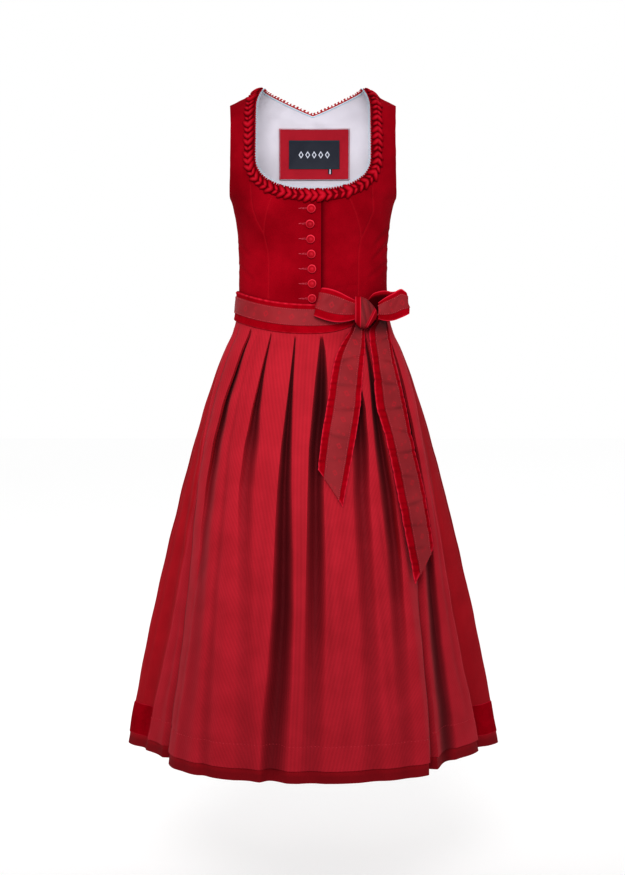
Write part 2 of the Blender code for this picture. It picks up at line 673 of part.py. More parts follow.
def belt_wall(out, thickness, top_margin, bottom_margin):
    outer, inner = [[], []], [[], []]
    for column in range(BELT_COLUMNS):
        turn = 360.0 * column / BELT_COLUMNS
        away = abs((turn - KNOT_TURN + 180) % 360 - 180)
        pinch = 1 - BELT_PINCH * math.exp(-(away / BELT_PINCH_SPREAD) ** 2)
        seam = waist_seam(turn)
        top = seam + pinch * (BELT_HALF_HEIGHT - top_margin)
        bottom = seam - pinch * (BELT_HALF_HEIGHT - bottom_margin)
        for row, height in enumerate((top, bottom)):
            point = belt_point(turn, height)
            normal = belt_normal(turn)
            outer[row].append(point + normal * (out + thickness))
            inner[row].append(point + normal * out)
    return outer, inner


def belt_point(turn, height):
    """A place on the straight run from the bodice at the belt's top edge to the skirt at its bottom."""
    seam = waist_seam(turn)
    top = body_point(turn, seam + BELT_HALF_HEIGHT)
    bottom = skirt_envelope(turn, seam - BELT_HALF_HEIGHT)
    return top.lerp(bottom, (seam + BELT_HALF_HEIGHT - height) / (2 * BELT_HALF_HEIGHT))


def belt_normal(turn):
    normal = body_normal(turn, waist_seam(turn))
    return Vector((normal.x, normal.y, 0)).normalized()


def make_belt(velvet, ribbon):
    outer, inner = belt_wall(BELT_OFFSET, BELT_CLOTH, 0.0, 0.0)
    grid_wall("waistband_velvet", outer, inner, velvet, closed=True)
    out = BELT_OFFSET + BELT_CLOTH + LAYER_GAP
    outer, inner = belt_wall(out, RIBBON_CLOTH, RIBBON_TOP_MARGIN, RIBBON_BOTTOM_MARGIN)
    grid_wall("waistband_ribbon", outer, inner, ribbon, closed=True)


# Skirt, apron and hem band share one set of folds

def skirt_power(height):
    share = smooth_step((WAIST_SEAM_SIDE - height) / 0.22)
    return SECTION_POWER + (2.0 - SECTION_POWER) * share


def skirt_envelope(turn, height):
    angle = math.radians(turn)
    power = 2 / skirt_power(height)
    x = table_value(SKIRT_SECTIONS, "half_width", height) * signed_power(math.sin(angle), power)
    side = "front_depth" if math.cos(angle) > 0 else "back_depth"
    y = -table_value(SKIRT_SECTIONS, side, height) * signed_power(math.cos(angle), power)
    return Vector((x, y, height))


def envelope_normal(turn, height):
    around = skirt_envelope(turn + 0.5, height) - skirt_envelope(turn - 0.5, height)
    return Vector((around.y, -around.x, 0)).normalized()


def fold_state(fold, drop):
    """Turn, half width, depth and lean of a fold at a share of the drop from waist to hem."""
    turn = between(FOLD_STATIONS, (fold.waist, fold.thigh, fold.knee, fold.hem), drop)
    width = fold.narrow + (fold.wide - fold.narrow) * smooth_step(drop / 0.5)
    stations = (0.0,) + FOLD_STATIONS
    depth = between(stations, (0.0, fold.d_waist, fold.d_thigh, fold.d_knee, fold.d_hem), drop)
    return turn, width, depth, fold.lean * drop ** 2


def hem_inset(insets, turn, drop):
    """The hem's own inset, fading out towards the waist."""
    share = smooth_step((drop - 0.12) / 0.68)
    return share * between([row.turn for row in insets], [row.inset for row in insets], turn)


def fold_columns(folds, insets, first, last, drop):
    """Turn, inset and lean of every column of one panel at one height."""
    states = [fold_state(fold, drop) for fold in folds]
    start_gap = states[0][0] - states[0][1] - first
    columns = [(first + start_gap * i / EDGE_COLUMNS, 0.0, 0.0) for i in range(EDGE_COLUMNS)]
    for i, (turn, width, depth, lean) in enumerate(states):
        before = states[i - 1][0] if i else first - (turn - first) * 0.1
        after = states[i + 1][0] if i + 1 < len(states) else last + (last - turn) * 0.1
        left = min(width, WIDEST_FOLD_SHARE * (turn - before))
        right = min(width, WIDEST_FOLD_SHARE * (after - turn))
        for place, share in FOLD_PROFILE:
            reach = left if place < 0 else right
            columns.append((turn + place * reach, depth * share, lean * share))
    end = columns[-1][0]
    columns += [(end + (last - end) * (i + 1) / EDGE_COLUMNS, 0.0, 0.0) for i in range(EDGE_COLUMNS)]
    return [(turn, inset + hem_inset(insets, turn, drop), lean) for turn, inset, lean in columns]


def skirt_heights(turn):
    seam = waist_seam(turn)
    start = seam - BELT_HALF_HEIGHT - 0.0005
    end = HEM_HEIGHT + HEM_MARGIN + HEM_BAND_HEIGHT
    heights = [seam - WAIST_GAP, start]
    heights += [start + (end - start) * share for share in SKIRT_ROW_SHARES]
    heights += [end, HEM_HEIGHT + HEM_MARGIN, HEM_HEIGHT]
    return heights


def fold_rows(folds, insets, first, last, rows):
    """The folded base line of a panel: the points of each row."""
    lines = []
    for row in rows:
        line = []
        seam = waist_seam(0.5 * (first + last))
        mean_height = skirt_heights(0.5 * (first + last))[row]
        drop = (seam - mean_height) / (seam - HEM_HEIGHT)
        for turn, inset, lean in fold_columns(folds, insets, first, last, drop):
            height = skirt_heights(turn)[row]
            normal = envelope_normal(turn, height)
            tangent = Vector((-normal.y, normal.x, 0))
            line.append(skirt_envelope(turn, height) - normal * inset + tangent * lean)
        lines.append(line)
    return lines


def offset_line(line, distance, square_ends=(True, True)):
    """Move a plan line outwards by a distance, keeping its corners mitred."""
    moved = []
    for i, point in enumerate(line):
        ways = []
        if i > 0:
            ways.append(point - line[i - 1])
        if i + 1 < len(line):
            ways.append(line[i + 1] - point)
        normals = [Vector((way.y, -way.x, 0)).normalized() for way in ways]
        if len(normals) == 2:
            middle = (normals[0] + normals[1]).normalized()
            normal = middle / max(middle.dot(normals[0]), 0.35)
        else:
            normal = normals[0]
            at_start = i == 0
            if square_ends[0 if at_start else 1]:
                normal = Vector((math.copysign(1.0, point.x), 0, 0))
        moved.append(point + normal * distance)
    return moved


def fold_wall(name, lines, inner_out, outer_out, material, seam_shift, square_ends=(True, True)):
    shift = Vector((0, seam_shift, 0))
    outer, inner = [], []
    for line, near, far in zip(lines, inner_out, outer_out):
        outer.append([p + shift for p in offset_line(line, far, square_ends)])
        inner.append([p + shift for p in offset_line(line, near, square_ends)])
    return grid_wall(name, outer, inner, material)


def make_skirt(skirt_cloth, velvet, apron_cloth):
    all_rows = list(range(len(skirt_heights(0.0))))
    band_rows = [len(all_rows) - 3, len(all_rows) - 2]
    half_gap = SEAM_GAP / 2
    front = fold_rows(FRONT_FOLDS, FRONT_HEM_INSETS, -90.0, 90.0, all_rows)
    back = fold_rows(BACK_FOLDS, BACK_HEM_INSETS, 90.0, 270.0, all_rows)
    for name, lines, shift in (("front", front, -half_gap), ("back", back, half_gap)):
        inner = [-SKIRT_CLOTH] * len(lines)
        outer = [0.0] * len(lines)
        fold_wall(f"skirt_{name}", lines, inner, outer, skirt_cloth, shift)
        band = [lines[row] for row in band_rows]
        near = [LAYER_GAP] * 2
        far = [LAYER_GAP + HEM_BAND_CLOTH] * 2
        fold_wall(f"hem_band_{name}", band, near, far, velvet, shift)

    columns_per_fold = len(FOLD_PROFILE)
    first = EDGE_COLUMNS + columns_per_fold - 1
    last = EDGE_COLUMNS + columns_per_fold * (len(FRONT_FOLDS) - 1)
    apron_rows = all_rows[:-1]
    band_clearance = 2 * LAYER_GAP + HEM_BAND_CLOTH
    clearances = []
    for row in apron_rows:
        near_band = smooth_step((row - (band_rows[0] - 2)) / 2)
        clearances.append(LAYER_GAP + (band_clearance - LAYER_GAP) * near_band)
    lines = [front[row][first:last + 1] for row in apron_rows]
    lines[0] = [p - Vector((0, 0, 0.001)) for p in lines[0]]
    outer = [clearance + APRON_CLOTH for clearance in clearances]
    fold_wall("apron", lines, clearances, outer, apron_cloth, -half_gap, (False, False))


# The bow

def ribbon_wall(name, tops, bottoms, thickness, material, columns=3, out=0.0):
    """A ribbon whose path runs through pairs of top and bottom points, thickened about its middle."""
    rows = []
    for column in range(columns):
        share = column / (columns - 1)
        rows.append([top.lerp(bottom, share) for top, bottom in zip(tops, bottoms)])
    outer, inner = [], []
    for row in rows:
        outer_row, inner_row = [], []
        for i, point in enumerate(row):
            along = row[min(i + 1, len(row) - 1)] - row[max(i - 1, 0)]
            down = bottoms[i] - tops[i]
            normal = down.cross(along).normalized()
            outer_row.append(point + normal * (out + thickness / 2))
            inner_row.append(point + normal * (out - thickness / 2))
        outer.append(outer_row)
        inner.append(inner_row)
    return grid_wall(name, outer, inner, material)


def knot_frame():
    height = WAIST_SEAM_FRONT + 0.009
    out = BELT_OFFSET + BELT_CLOTH + RIBBON_CLOTH + KNOT_GAP
    normal = belt_normal(KNOT_TURN)
    base = belt_point(KNOT_TURN, height) + normal * out
    along = Vector((-normal.y, normal.x, 0))
    return base, normal, along


def make_knot(ribbon):
    base, normal, along = knot_frame()
    stations = ((-0.50, 0.78), (-0.40, 0.93), (-0.15, 1.0), (0.15, 1.0), (0.40, 0.93), (0.50, 0.78))
    sides = 14
    points, faces = [], []
    for place, swell in stations:
        for side in range(sides):
            angle = 2 * math.pi * side / sides
            deep = 0.5 * KNOT_DEPTH * (1 + swell * signed_power(math.cos(angle), 0.7))
            tall = 0.5 * KNOT_HEIGHT * swell * signed_power(math.sin(angle), 0.7)
            points.append(base + along * (place * KNOT_WIDTH) + normal * deep + Vector((0, 0, tall)))
    for ring in range(len(stations) - 1):
        for side in range(sides):
            a = ring * sides + side
            b = ring * sides + (side + 1) % sides
            faces.append((a, b, b + sides, a + sides))
    faces.append(tuple(range(sides)))
    faces.append(tuple(range((len(stations) - 1) * sides, len(stations) * sides)))
    make_solid("bow_knot", points, faces, ribbon)


def loop_points(table):
    tops = [Vector((place.x, place.y, place.top)) for place in table]
    bottoms = [Vector((place.x + place.flare, place.y, place.bottom)) for place in table]
    return tops, bottoms


def tail_point(x, height, stand_off):
    share = min(abs(x) / table_value(SKIRT_SECTIONS, "half_width", height), 1.0)
    turn = math.degrees(math.asin(share ** (skirt_power(height) / 2)))
    point = skirt_envelope(turn, height)
    return point + envelope_normal(turn, height) * stand_off


def make_tail(name, table, tip_drop, velvet, ribbon):
    tip_left = max(-tip_drop, 0.0)
    tip_right = max(tip_drop, 0.0)
    columns = 5
    ribbon_near = BELT_CLOTH + LAYER_GAP
    layers = (
        ("", velvet, 0.0, BELT_CLOTH, (0.0, 1.0)),
        ("_ribbon", ribbon, ribbon_near, ribbon_near + RIBBON_CLOTH, (0.15, 0.80)),
    )
    for kind, material, near, far, margins in layers:
        outer, inner = [], []
        rows = list(table)
        end = rows[-1]
        for row in range(len(rows) + 1):
            place = rows[min(row, len(rows) - 1)]
            outer_row, inner_row = [], []
            for column in range(columns):
                share = margins[0] + (margins[1] - margins[0]) * column / (columns - 1)
                x = place.left + (place.right - place.left) * share
                height = place.height
                if row == len(rows):
                    height = end.height - 0.004 - (tip_left * (1 - share) + tip_right * share)
                    slope = (end.left - rows[-2].left) / (end.height - rows[-2].height)
                    x += slope * (height - end.height)
                outer_row.append(tail_point(x, height, place.stand_off + far))
                inner_row.append(tail_point(x, height, place.stand_off + near))
            outer.append(outer_row)
            inner.append(inner_row)
        grid_wall(name + kind, outer, inner, material)


def make_bow(velvet, ribbon):
    make_knot(ribbon)
    for name, table in (("bow_loop_right", LEFT_LOOP), ("bow_loop_left", RIGHT_LOOP)):
        tops, bottoms = loop_points(table)
        ribbon_wall(name, tops, bottoms, BELT_CLOTH, velvet)
    make_tail("bow_tail_right", LEFT_TAIL, LEFT_TAIL_POINT, velvet, ribbon)
    make_tail("bow_tail_left", RIGHT_TAIL, RIGHT_TAIL_POINT, velvet, ribbon)


def main():
    clear_scene()
    bodice_velvet = cloth_material("bodice velvet", VELVET_RED, 0.9)
    trim_velvet = cloth_material("trim velvet", VELVET_RED, 0.8)
    button_velvet = cloth_material("button velvet", VELVET_RED, 0.7)
    lining = cloth_material("lining", LINING_WHITE, 0.7)
    patch_cloth = cloth_material("label patch", SKIRT_RED, 0.8)
    label_cloth = cloth_material("label", LABEL_NAVY, 0.7)
    skirt_cloth = cloth_material("skirt cloth", SKIRT_RED, 0.7)
    apron_cloth = cloth_material("apron cloth", APRON_RED, 0.5)
    ribbon = cloth_material("ribbon", RIBBON_RED, 0.5)
    make_bodice(bodice_velvet, lining)
    make_braid(trim_velvet)
    make_buttons(button_velvet)
    make_label(patch_cloth, label_cloth)
    make_belt(trim_velvet, ribbon)
    make_skirt(skirt_cloth, trim_velvet, apron_cloth)
    make_bow(trim_velvet, ribbon)


main()
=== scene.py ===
# A dirndl in its worn form: velvet bodice with plaited trimming, gathered skirt, twill apron and a tied bow.
# The front faces -Y and the wearer's left is +X. Lengths are metres, turns are degrees from centre front.
import math

import bmesh
import bpy
import numpy as np
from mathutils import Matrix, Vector
from mathutils.geometry import delaunay_2d_cdt


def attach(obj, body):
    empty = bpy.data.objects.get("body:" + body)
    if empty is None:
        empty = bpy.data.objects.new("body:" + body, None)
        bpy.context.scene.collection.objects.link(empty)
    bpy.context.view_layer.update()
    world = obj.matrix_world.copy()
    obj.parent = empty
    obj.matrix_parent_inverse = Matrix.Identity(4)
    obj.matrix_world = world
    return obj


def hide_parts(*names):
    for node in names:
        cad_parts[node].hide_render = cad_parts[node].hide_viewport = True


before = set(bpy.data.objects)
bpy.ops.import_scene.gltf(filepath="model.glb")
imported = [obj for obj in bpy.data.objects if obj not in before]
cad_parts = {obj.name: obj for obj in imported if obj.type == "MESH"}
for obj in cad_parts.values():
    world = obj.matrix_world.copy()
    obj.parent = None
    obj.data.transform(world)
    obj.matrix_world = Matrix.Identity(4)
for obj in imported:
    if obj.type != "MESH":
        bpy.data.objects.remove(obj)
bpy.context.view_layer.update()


# colours and materials
def hexColour(text):
    values = [int(text[i:i + 2], 16) / 255 for i in (1, 3, 5)]
    return [v / 12.92 if v <= 0.04045 else ((v + 0.055) / 1.055) ** 2.4 for v in values] + [1.0]


# an input gets a value, a hex colour, a socket, or a node, which stands for its first output in use
def fillInputs(tree, node, given):
    for key, value in given.items():
        if isinstance(value, bpy.types.Node):
            value = next(output for output in value.outputs if output.enabled)
        if isinstance(value, bpy.types.NodeSocket):
            tree.links.new(value, node.inputs[key])
        else:
            isColour = isinstance(value, str) and value.startswith("#")
            node.inputs[key].default_value = hexColour(value) if isColour else value


def addNode(tree, kind, given=None, **settings):
    node = tree.nodes.new(kind)
    for key, value in settings.items():
        setattr(node, key, value)
    fillInputs(tree, node, given or {})
    return node


def newMaterial(name, roughness, specular, sheen=0.0, sheenRoughness=0.4, sheenTint="#FFFFFF"):
    material = bpy.data.materials.new(name)
    material.use_nodes = True
    tree = material.node_tree
    tree.nodes.clear()
    shader = addNode(tree, "ShaderNodeBsdfPrincipled", {
        "Roughness": roughness, "Specular IOR Level": specular, "Sheen Weight": sheen,
        "Sheen Roughness": sheenRoughness, "Sheen Tint": sheenTint})
    addNode(tree, "ShaderNodeOutputMaterial", {"Surface": shader})
    return material, tree, shader


# a Mix node's factor is input 0 and its colours are inputs 6 and 7
blend = {"data_type": "RGBA"}
multiply = {"data_type": "RGBA", "blend_type": "MULTIPLY"}
waveLength = 0.314      # what a Wave texture of scale 1 repeats over


# a cloth's last steps: paler with wear and with a painted highlight on its edges, painted shade deep in its folds and
# other shaded places, and its pile or weave stands up
def finishCloth(tree, shader, colour, pressedAndHighlit, shadeTone, height, strength, depth):
    for attribute, tone in (("worn", pressedAndHighlit), ("shade", shadeTone)):
        amount = addNode(tree, "ShaderNodeAttribute", attribute_name=attribute)
        colour = addNode(tree, "ShaderNodeMix", {0: amount.outputs["Fac"], 6: colour, 7: tone}, **blend)
    bump = addNode(tree, "ShaderNodeBump", {"Height": height, "Strength": strength, "Distance": depth})
    fillInputs(tree, shader, {"Base Color": colour, "Normal": bump})


# Cotton velvet, cut pile: a matt, deep red nap that lies in soft patches, paler on its edges with wear and a painted
# highlight
def velvetMaterial(name, deep, lit, pressedAndHighlit, sheen, sheenTint, patch):
    material, tree, shader = newMaterial(name, 0.95, 0.02, sheen, 0.32, sheenTint)
    place = addNode(tree, "ShaderNodeTexCoord").outputs["Object"]
    patches = addNode(tree, "ShaderNodeTexNoise", {"Vector": place, "Scale": patch, "Detail": 3.0, "Roughness": 0.6})
    spread = addNode(tree, "ShaderNodeMapRange", {0: patches, 1: 0.32, 2: 0.68})
    nap = addNode(tree, "ShaderNodeMix", {0: spread, 6: deep, 7: lit}, **blend)
    # pile tufts are 0.3 mm across, drawn at 1 mm so that they still show
    pile = addNode(tree, "ShaderNodeTexNoise", {"Vector": place, "Scale": 1000.0, "Detail": 2.0})
    speckle = addNode(tree, "ShaderNodeMapRange", {0: pile, 1: 0.3, 2: 0.7, 3: 0.86, 4: 1.14})
    grainy = addNode(tree, "ShaderNodeMix", {0: 1.0, 6: nap, 7: speckle}, **multiply)
    # the pale colour stands for wear and painted highlights, the near black red for painted shade
    finishCloth(tree, shader, grainy, pressedAndHighlit, "#140002", pile, 0.35, 0.0005)
    return material


# Woven cotton or taffeta, matt with fine lines, on the piece's own UV map in metres: rib is the distance between
# its lines, slant their turn, ribShare and pick how much the lines and the crossing threads show
def wovenMaterial(name, deep, lit, rib, ribShare, roughness, specular, sheen, slant=0.0, blotch=22.0, pick=0.35,
                  lozenge=None):
    material, tree, shader = newMaterial(name, roughness, specular, sheen, 0.45, "#FFB0B0")
    uv = addNode(tree, "ShaderNodeUVMap", uv_map="cloth")
    waves = []
    for turn, length, look in ((slant, rib, {"Distortion": 0.25, "Detail": 1.0, "Detail Scale": 0.4}),
                               (slant + 90, rib * 0.6, {"Distortion": 0.2})):
        turned = addNode(tree, "ShaderNodeMapping", {"Vector": uv, "Rotation": (0, 0, math.radians(turn))})
        wave = addNode(tree, "ShaderNodeTexWave", {"Vector": turned, "Scale": waveLength / length, **look})
        waves.append(wave.outputs["Fac"])
    weave = addNode(tree, "ShaderNodeMath", {0: waves[1], 1: pick, 2: waves[0]}, operation="MULTIPLY_ADD")
    place = addNode(tree, "ShaderNodeTexCoord").outputs["Object"]
    cloud = addNode(tree, "ShaderNodeTexNoise", {"Vector": place, "Scale": blotch, "Detail": 3.0})
    spread = addNode(tree, "ShaderNodeMapRange", {0: cloud, 1: 0.3, 2: 0.7})
    ground = addNode(tree, "ShaderNodeMix", {0: spread, 6: deep, 7: lit}, **blend)
    lines = addNode(tree, "ShaderNodeMapRange", {0: weave, 1: 0.0, 2: 1.0 + pick, 3: 1.0 - ribShare,
                                                 4: 1.0 + ribShare})
    colour = addNode(tree, "ShaderNodeMix", {0: 1.0, 6: ground, 7: lines}, **multiply)
    if lozenge:
        # small tone-on-tone woven lozenges: one in the middle, then a pair of smaller ones, in turn
        parts = addNode(tree, "ShaderNodeSeparateXYZ", {0: uv})
        marks = None
        for shift, middle, half, tall in lozenge["marks"]:
            reach = []
            for start, steps in ((0, (("ADD", lozenge["start"] + shift), ("MODULO", lozenge["repeat"]),
                                      ("SUBTRACT", lozenge["repeat"] / 2), ("ABSOLUTE", 0.0), ("DIVIDE", half))),
                                 (1, (("SUBTRACT", middle), ("ABSOLUTE", 0.0), ("DIVIDE", tall)))):
                value = parts.outputs[start]
                for operation, number in steps:
                    value = addNode(tree, "ShaderNodeMath", {0: value, 1: number}, operation=operation)
                reach.append(value)
            total = addNode(tree, "ShaderNodeMath", {0: reach[0], 1: reach[1]}, operation="ADD")
            inside = addNode(tree, "ShaderNodeMapRange", {0: total, 1: 1.12, 2: 0.88})
            hollow = addNode(tree, "ShaderNodeMapRange", {0: total, 1: 0.58, 2: 0.38})
            ring = addNode(tree, "ShaderNodeMath", {0: inside, 1: hollow}, operation="SUBTRACT", use_clamp=True)
            marks = ring if marks is None else addNode(tree, "ShaderNodeMath", {0: marks, 1: ring},
                                                       operation="MAXIMUM")
        faint = addNode(tree, "ShaderNodeMath", {0: marks, 1: lozenge["share"]}, operation="MULTIPLY")
        colour = addNode(tree, "ShaderNodeMix", {0: faint, 6: colour, 7: lozenge["colour"]}, **blend)
    # the lit tone serves for wear and painted highlights, the near black red for painted shade
    finishCloth(tree, shader, colour, lit, "#1A0002", weave, 0.3, 0.0003)
    return material


# Woven label: dense satin ground with a thin border, and a small row of plain lozenges in paler thread
def labelMaterial(look):
    material, tree, shader = newMaterial("wovenLabel", 0.6, 0.2)
    uv = addNode(tree, "ShaderNodeUVMap", uv_map="cloth")
    parts = addNode(tree, "ShaderNodeSeparateXYZ", {0: uv})
    away = [addNode(tree, "ShaderNodeMath", {0: part}, operation="ABSOLUTE") for part in parts.outputs[:2]]
    inward = [addNode(tree, "ShaderNodeMath", {0: half, 1: distance}, operation="SUBTRACT")
              for half, distance in zip(look["half"], away)]
    nearest = addNode(tree, "ShaderNodeMath", {0: inward[0], 1: inward[1]}, operation="MINIMUM")
    threads = addNode(tree, "ShaderNodeTexWave", {"Vector": uv, "Scale": waveLength / look["thread"],
                                                  "Distortion": 0.4}, bands_direction="Y").outputs["Fac"]
    colour = addNode(tree, "ShaderNodeMix", {0: threads, 6: look["ground"], 7: look["groundLit"]}, **blend)
    for start, end, thread in look["borders"]:
        band = addNode(tree, "ShaderNodeMath", {0: nearest, 1: (start + end) / 2, 2: (end - start) / 2},
                       operation="COMPARE")
        colour = addNode(tree, "ShaderNodeMix", {0: band, 6: colour, 7: thread}, **blend)
    wrapped = addNode(tree, "ShaderNodeMath", {0: parts.outputs[0], 1: look["pitch"] / 2}, operation="PINGPONG")
    wide = addNode(tree, "ShaderNodeMath", {0: wrapped, 1: look["lozengeHalf"]}, operation="DIVIDE")
    tall = addNode(tree, "ShaderNodeMath", {0: away[1], 1: look["lozengeHalf"] * 1.5}, operation="DIVIDE")
    total = addNode(tree, "ShaderNodeMath", {0: wide, 1: tall}, operation="ADD")
    ring = addNode(tree, "ShaderNodeMath", {0: total, 1: 0.8, 2: 0.22}, operation="COMPARE")
    inRow = addNode(tree, "ShaderNodeMath", {0: away[0], 1: look["rowHalf"]}, operation="LESS_THAN")
    marks = addNode(tree, "ShaderNodeMath", {0: ring, 1: inRow}, operation="MULTIPLY")
    colour = addNode(tree, "ShaderNodeMix", {0: marks, 6: colour, 7: look["lozenge"]}, **blend)
    bump = addNode(tree, "ShaderNodeBump", {"Height": threads, "Strength": 0.3, "Distance": 0.0002})
    fillInputs(tree, shader, {"Base Color": colour, "Normal": bump})
    return material


# Mercerised sewing thread: a twisted strand with a soft gleam
def threadMaterial(name, colour):
    material, tree, shader = newMaterial(name, 0.5, 0.25)
    place = addNode(tree, "ShaderNodeTexCoord").outputs["Object"]
    ply = addNode(tree, "ShaderNodeTexNoise", {"Vector": place, "Scale": 1500.0})
    tone = addNode(tree, "ShaderNodeMapRange", {0: ply, 1: 0.3, 2: 0.7, 3: 0.8, 4: 1.2})
    fillInputs(tree, shader, {"Base Color": addNode(tree, "ShaderNodeMix", {0: 1.0, 6: colour, 7: tone}, **multiply)})
    return material


# each velvet's third colour is for its wear and for painted highlights on its edges
bodiceVelvet = velvetMaterial("cottonVelvetBodice", "#760010", "#8C0419", "#B0222E", 0.035, "#FF5060", 11.0)
trimVelvet = velvetMaterial("cottonVelvetTrim", "#7C000E", "#900016", "#C42A42", 0.1, "#FF4060", 30.0)
buttonVelvet = velvetMaterial("cottonVelvetButton", "#7E0818", "#940E1E", "#DC4256", 0.1, "#FF6070", 60.0)
# the twill's ribs are 1.2 mm apart, drawn 6.3 mm apart as the photo shows them
apronTwill = wovenMaterial("apronTwill", "#941A28", "#9E1F2E", rib=0.0063, ribShare=0.055, roughness=0.75,
                           specular=0.1, sheen=0.03, pick=0.06)
skirtCloth = wovenMaterial("skirtPlainWeave", "#90101E", "#9A1422", rib=0.0014, ribShare=0.04, roughness=0.85,
                           specular=0.08, sheen=0.02)
ribbonTaffeta = wovenMaterial(
    "ribbonTaffeta", "#781A22", "#862028", rib=0.0016, ribShare=0.05, roughness=0.6, specular=0.16, sheen=0.02,
    slant=90.0, lozenge={"repeat": 0.046, "start": 50.0, "share": 0.55, "colour": "#9C1626", "marks": (
        (0.0, 0.0, 0.005, 0.0062), (0.023, 0.0052, 0.003, 0.0036), (0.023, -0.0052, 0.003, 0.0036))})
liningCotton = wovenMaterial("liningCotton", "#CAC7CF", "#D3D0D7", rib=0.0014, ribShare=0.02, roughness=0.8,
                             specular=0.15, sheen=0.0, blotch=14.0)
patchCloth = wovenMaterial("patchCotton", "#9A1E2E", "#A42232", rib=0.0014, ribShare=0.06, roughness=0.8,
                           specular=0.1, sheen=0.0)
labelLook = {"half": (0.049, 0.0264), "thread": 0.0012, "ground": "#23262F", "groundLit": "#30333F",
             "borders": ((-0.001, 0.0009, "#C01020"), (0.0014, 0.0026, "#0C4048")),
             "pitch": 0.012, "lozengeHalf": 0.0044, "rowHalf": 0.03, "lozenge": "#C4C8D2"}
labelWeave = labelMaterial(labelLook)
redThread = threadMaterial("redSewingThread", "#B83644")
neckThread = threadMaterial("redSewingThread", "#A0000E")
roseThread = threadMaterial("roseSewingThread", "#B04050")
paleThread = threadMaterial("paleSewingThread", "#A3C0CB")
print("materials made")


# a cubic from low to high over one step, with the slopes that it has there
def cubic(u, step, low, lowSlope, high, highSlope):
    return ((2 * u ** 3 - 3 * u ** 2 + 1) * low + (u ** 3 - 2 * u ** 2 + u) * step * lowSlope
            + (3 * u ** 2 - 2 * u ** 3) * high + (u ** 3 - u ** 2) * step * highSlope)


# a smooth curve through a table that never overshoots its values
def smoothCurve(stations, values):
    xs, ys = np.array(stations, float), np.array(values, float)
    if xs[0] > xs[-1]:
        xs, ys = xs[::-1], ys[::-1]
    steps = np.diff(xs)
    slopes = np.diff(ys) / steps
    tangents = np.zeros_like(ys)
    tangents[0], tangents[-1] = slopes[0], slopes[-1]
    product = slopes[:-1] * slopes[1:]
    together = np.where(product > 0, slopes[:-1] + slopes[1:], 1.0)
    tangents[1:-1] = np.where(product > 0, 2 * product / together, 0.0)
    dense = np.linspace(xs[0], xs[-1], 1500)
    i = np.clip(np.searchsorted(xs, dense) - 1, 0, len(xs) - 2)
    heights = cubic((dense - xs[i]) / steps[i], steps[i], ys[i], tangents[i], ys[i + 1], tangents[i + 1])
    return lambda place: np.interp(place, dense, heights)


def curvesOf(table, columns):
    return [smoothCurve([row[0] for row in table], [row[i] for row in table]) for i in columns]


def smoothStep(value):
    value = np.clip(value, 0.0, 1.0)
    return value * value * (3 - 2 * value)


def signedPower(value, power):
    return np.sign(value) * np.abs(value) ** power


def unit(vectors):
    length = np.linalg.norm(vectors, axis=-1, keepdims=True)
    return vectors / np.maximum(length, 1e-12)


def gaussian(value, width):
    return np.exp(-(value / width) ** 2)


# a soft, fixed unevenness of about 1, with waves of the given length
def unevenness(a, b, wave, seed=0.0):
    k = 2 * math.pi / wave
    return (np.sin(k * a * 1.0 + 1.3 + seed) * np.cos(k * b * 0.83 + 0.4 * seed)
            + 0.6 * np.sin(k * (0.71 * a + 0.93 * b) + 2.1 * seed + 0.5)
            + 0.4 * np.sin(k * (1.63 * a - 1.21 * b) + 4.2 + seed)) / 1.5


# distance along every row of a net, and along one run of points
def rowLengths(net):
    steps = np.linalg.norm(np.diff(net, axis=1), axis=2)
    return np.concatenate((np.zeros((len(net), 1)), np.cumsum(steps, axis=1)), axis=1)


def runLength(points):
    return rowLengths(np.asarray(points)[None])[0]


def pickAlong(places, length, run):
    return np.stack([np.interp(places, length, column) for column in run.T], -1)


# the body form that the bodice lies on: section rows hold height, half width, front and back depth
body = {
    "underarm": -0.187, "shoulderArc": 0.26, "power": 2.25, "tipX": 0.143, "tipHeight": -0.0245, "slope": 0.5,
    "neckX": 0.087, "neckHalf": 0.098, "cornerHeight": -0.118, "cornerDrop": 0.0565, "cornerPower": 2.3,
    "backDrop": 0.033, "bustX": 0.068, "bustHeight": -0.205, "bustFullness": 0.006,
    "seamFront": -0.3885, "seamSide": -0.367, "hem": -1.136,
    "sections": (
        (-0.44, 0.139, 0.109, 0.102), (-0.413, 0.135, 0.103, 0.0965), (-0.387, 0.1315, 0.099, 0.093),
        (-0.36, 0.129, 0.0965, 0.0905), (-0.32, 0.1278, 0.0965, 0.0895), (-0.288, 0.128, 0.0995, 0.09),
        (-0.25, 0.1296, 0.1075, 0.0935), (-0.22, 0.1335, 0.116, 0.098), (-0.2, 0.1375, 0.1205, 0.101),
        (-0.187, 0.1412, 0.122, 0.103), (-0.178, 0.147, 0.1224, 0.1036), (-0.162, 0.153, 0.123, 0.1045),
        (-0.12, 0.16, 0.123, 0.106), (0.08, 0.164, 0.123, 0.106)),
}
underarm = body["underarm"]
top = underarm + body["shoulderArc"]
bodyHalfWidth, bodyFront, bodyBack = curvesOf(body["sections"], (1, 2, 3))


def shoulderHeight(x):
    return body["tipHeight"] + body["slope"] * (body["tipX"] - np.abs(x))


# above the underarm the form leans over to the shoulder line, by this angle
def leanAt(height):
    return np.clip((height - underarm) / body["shoulderArc"], 0, 1) * math.pi / 2


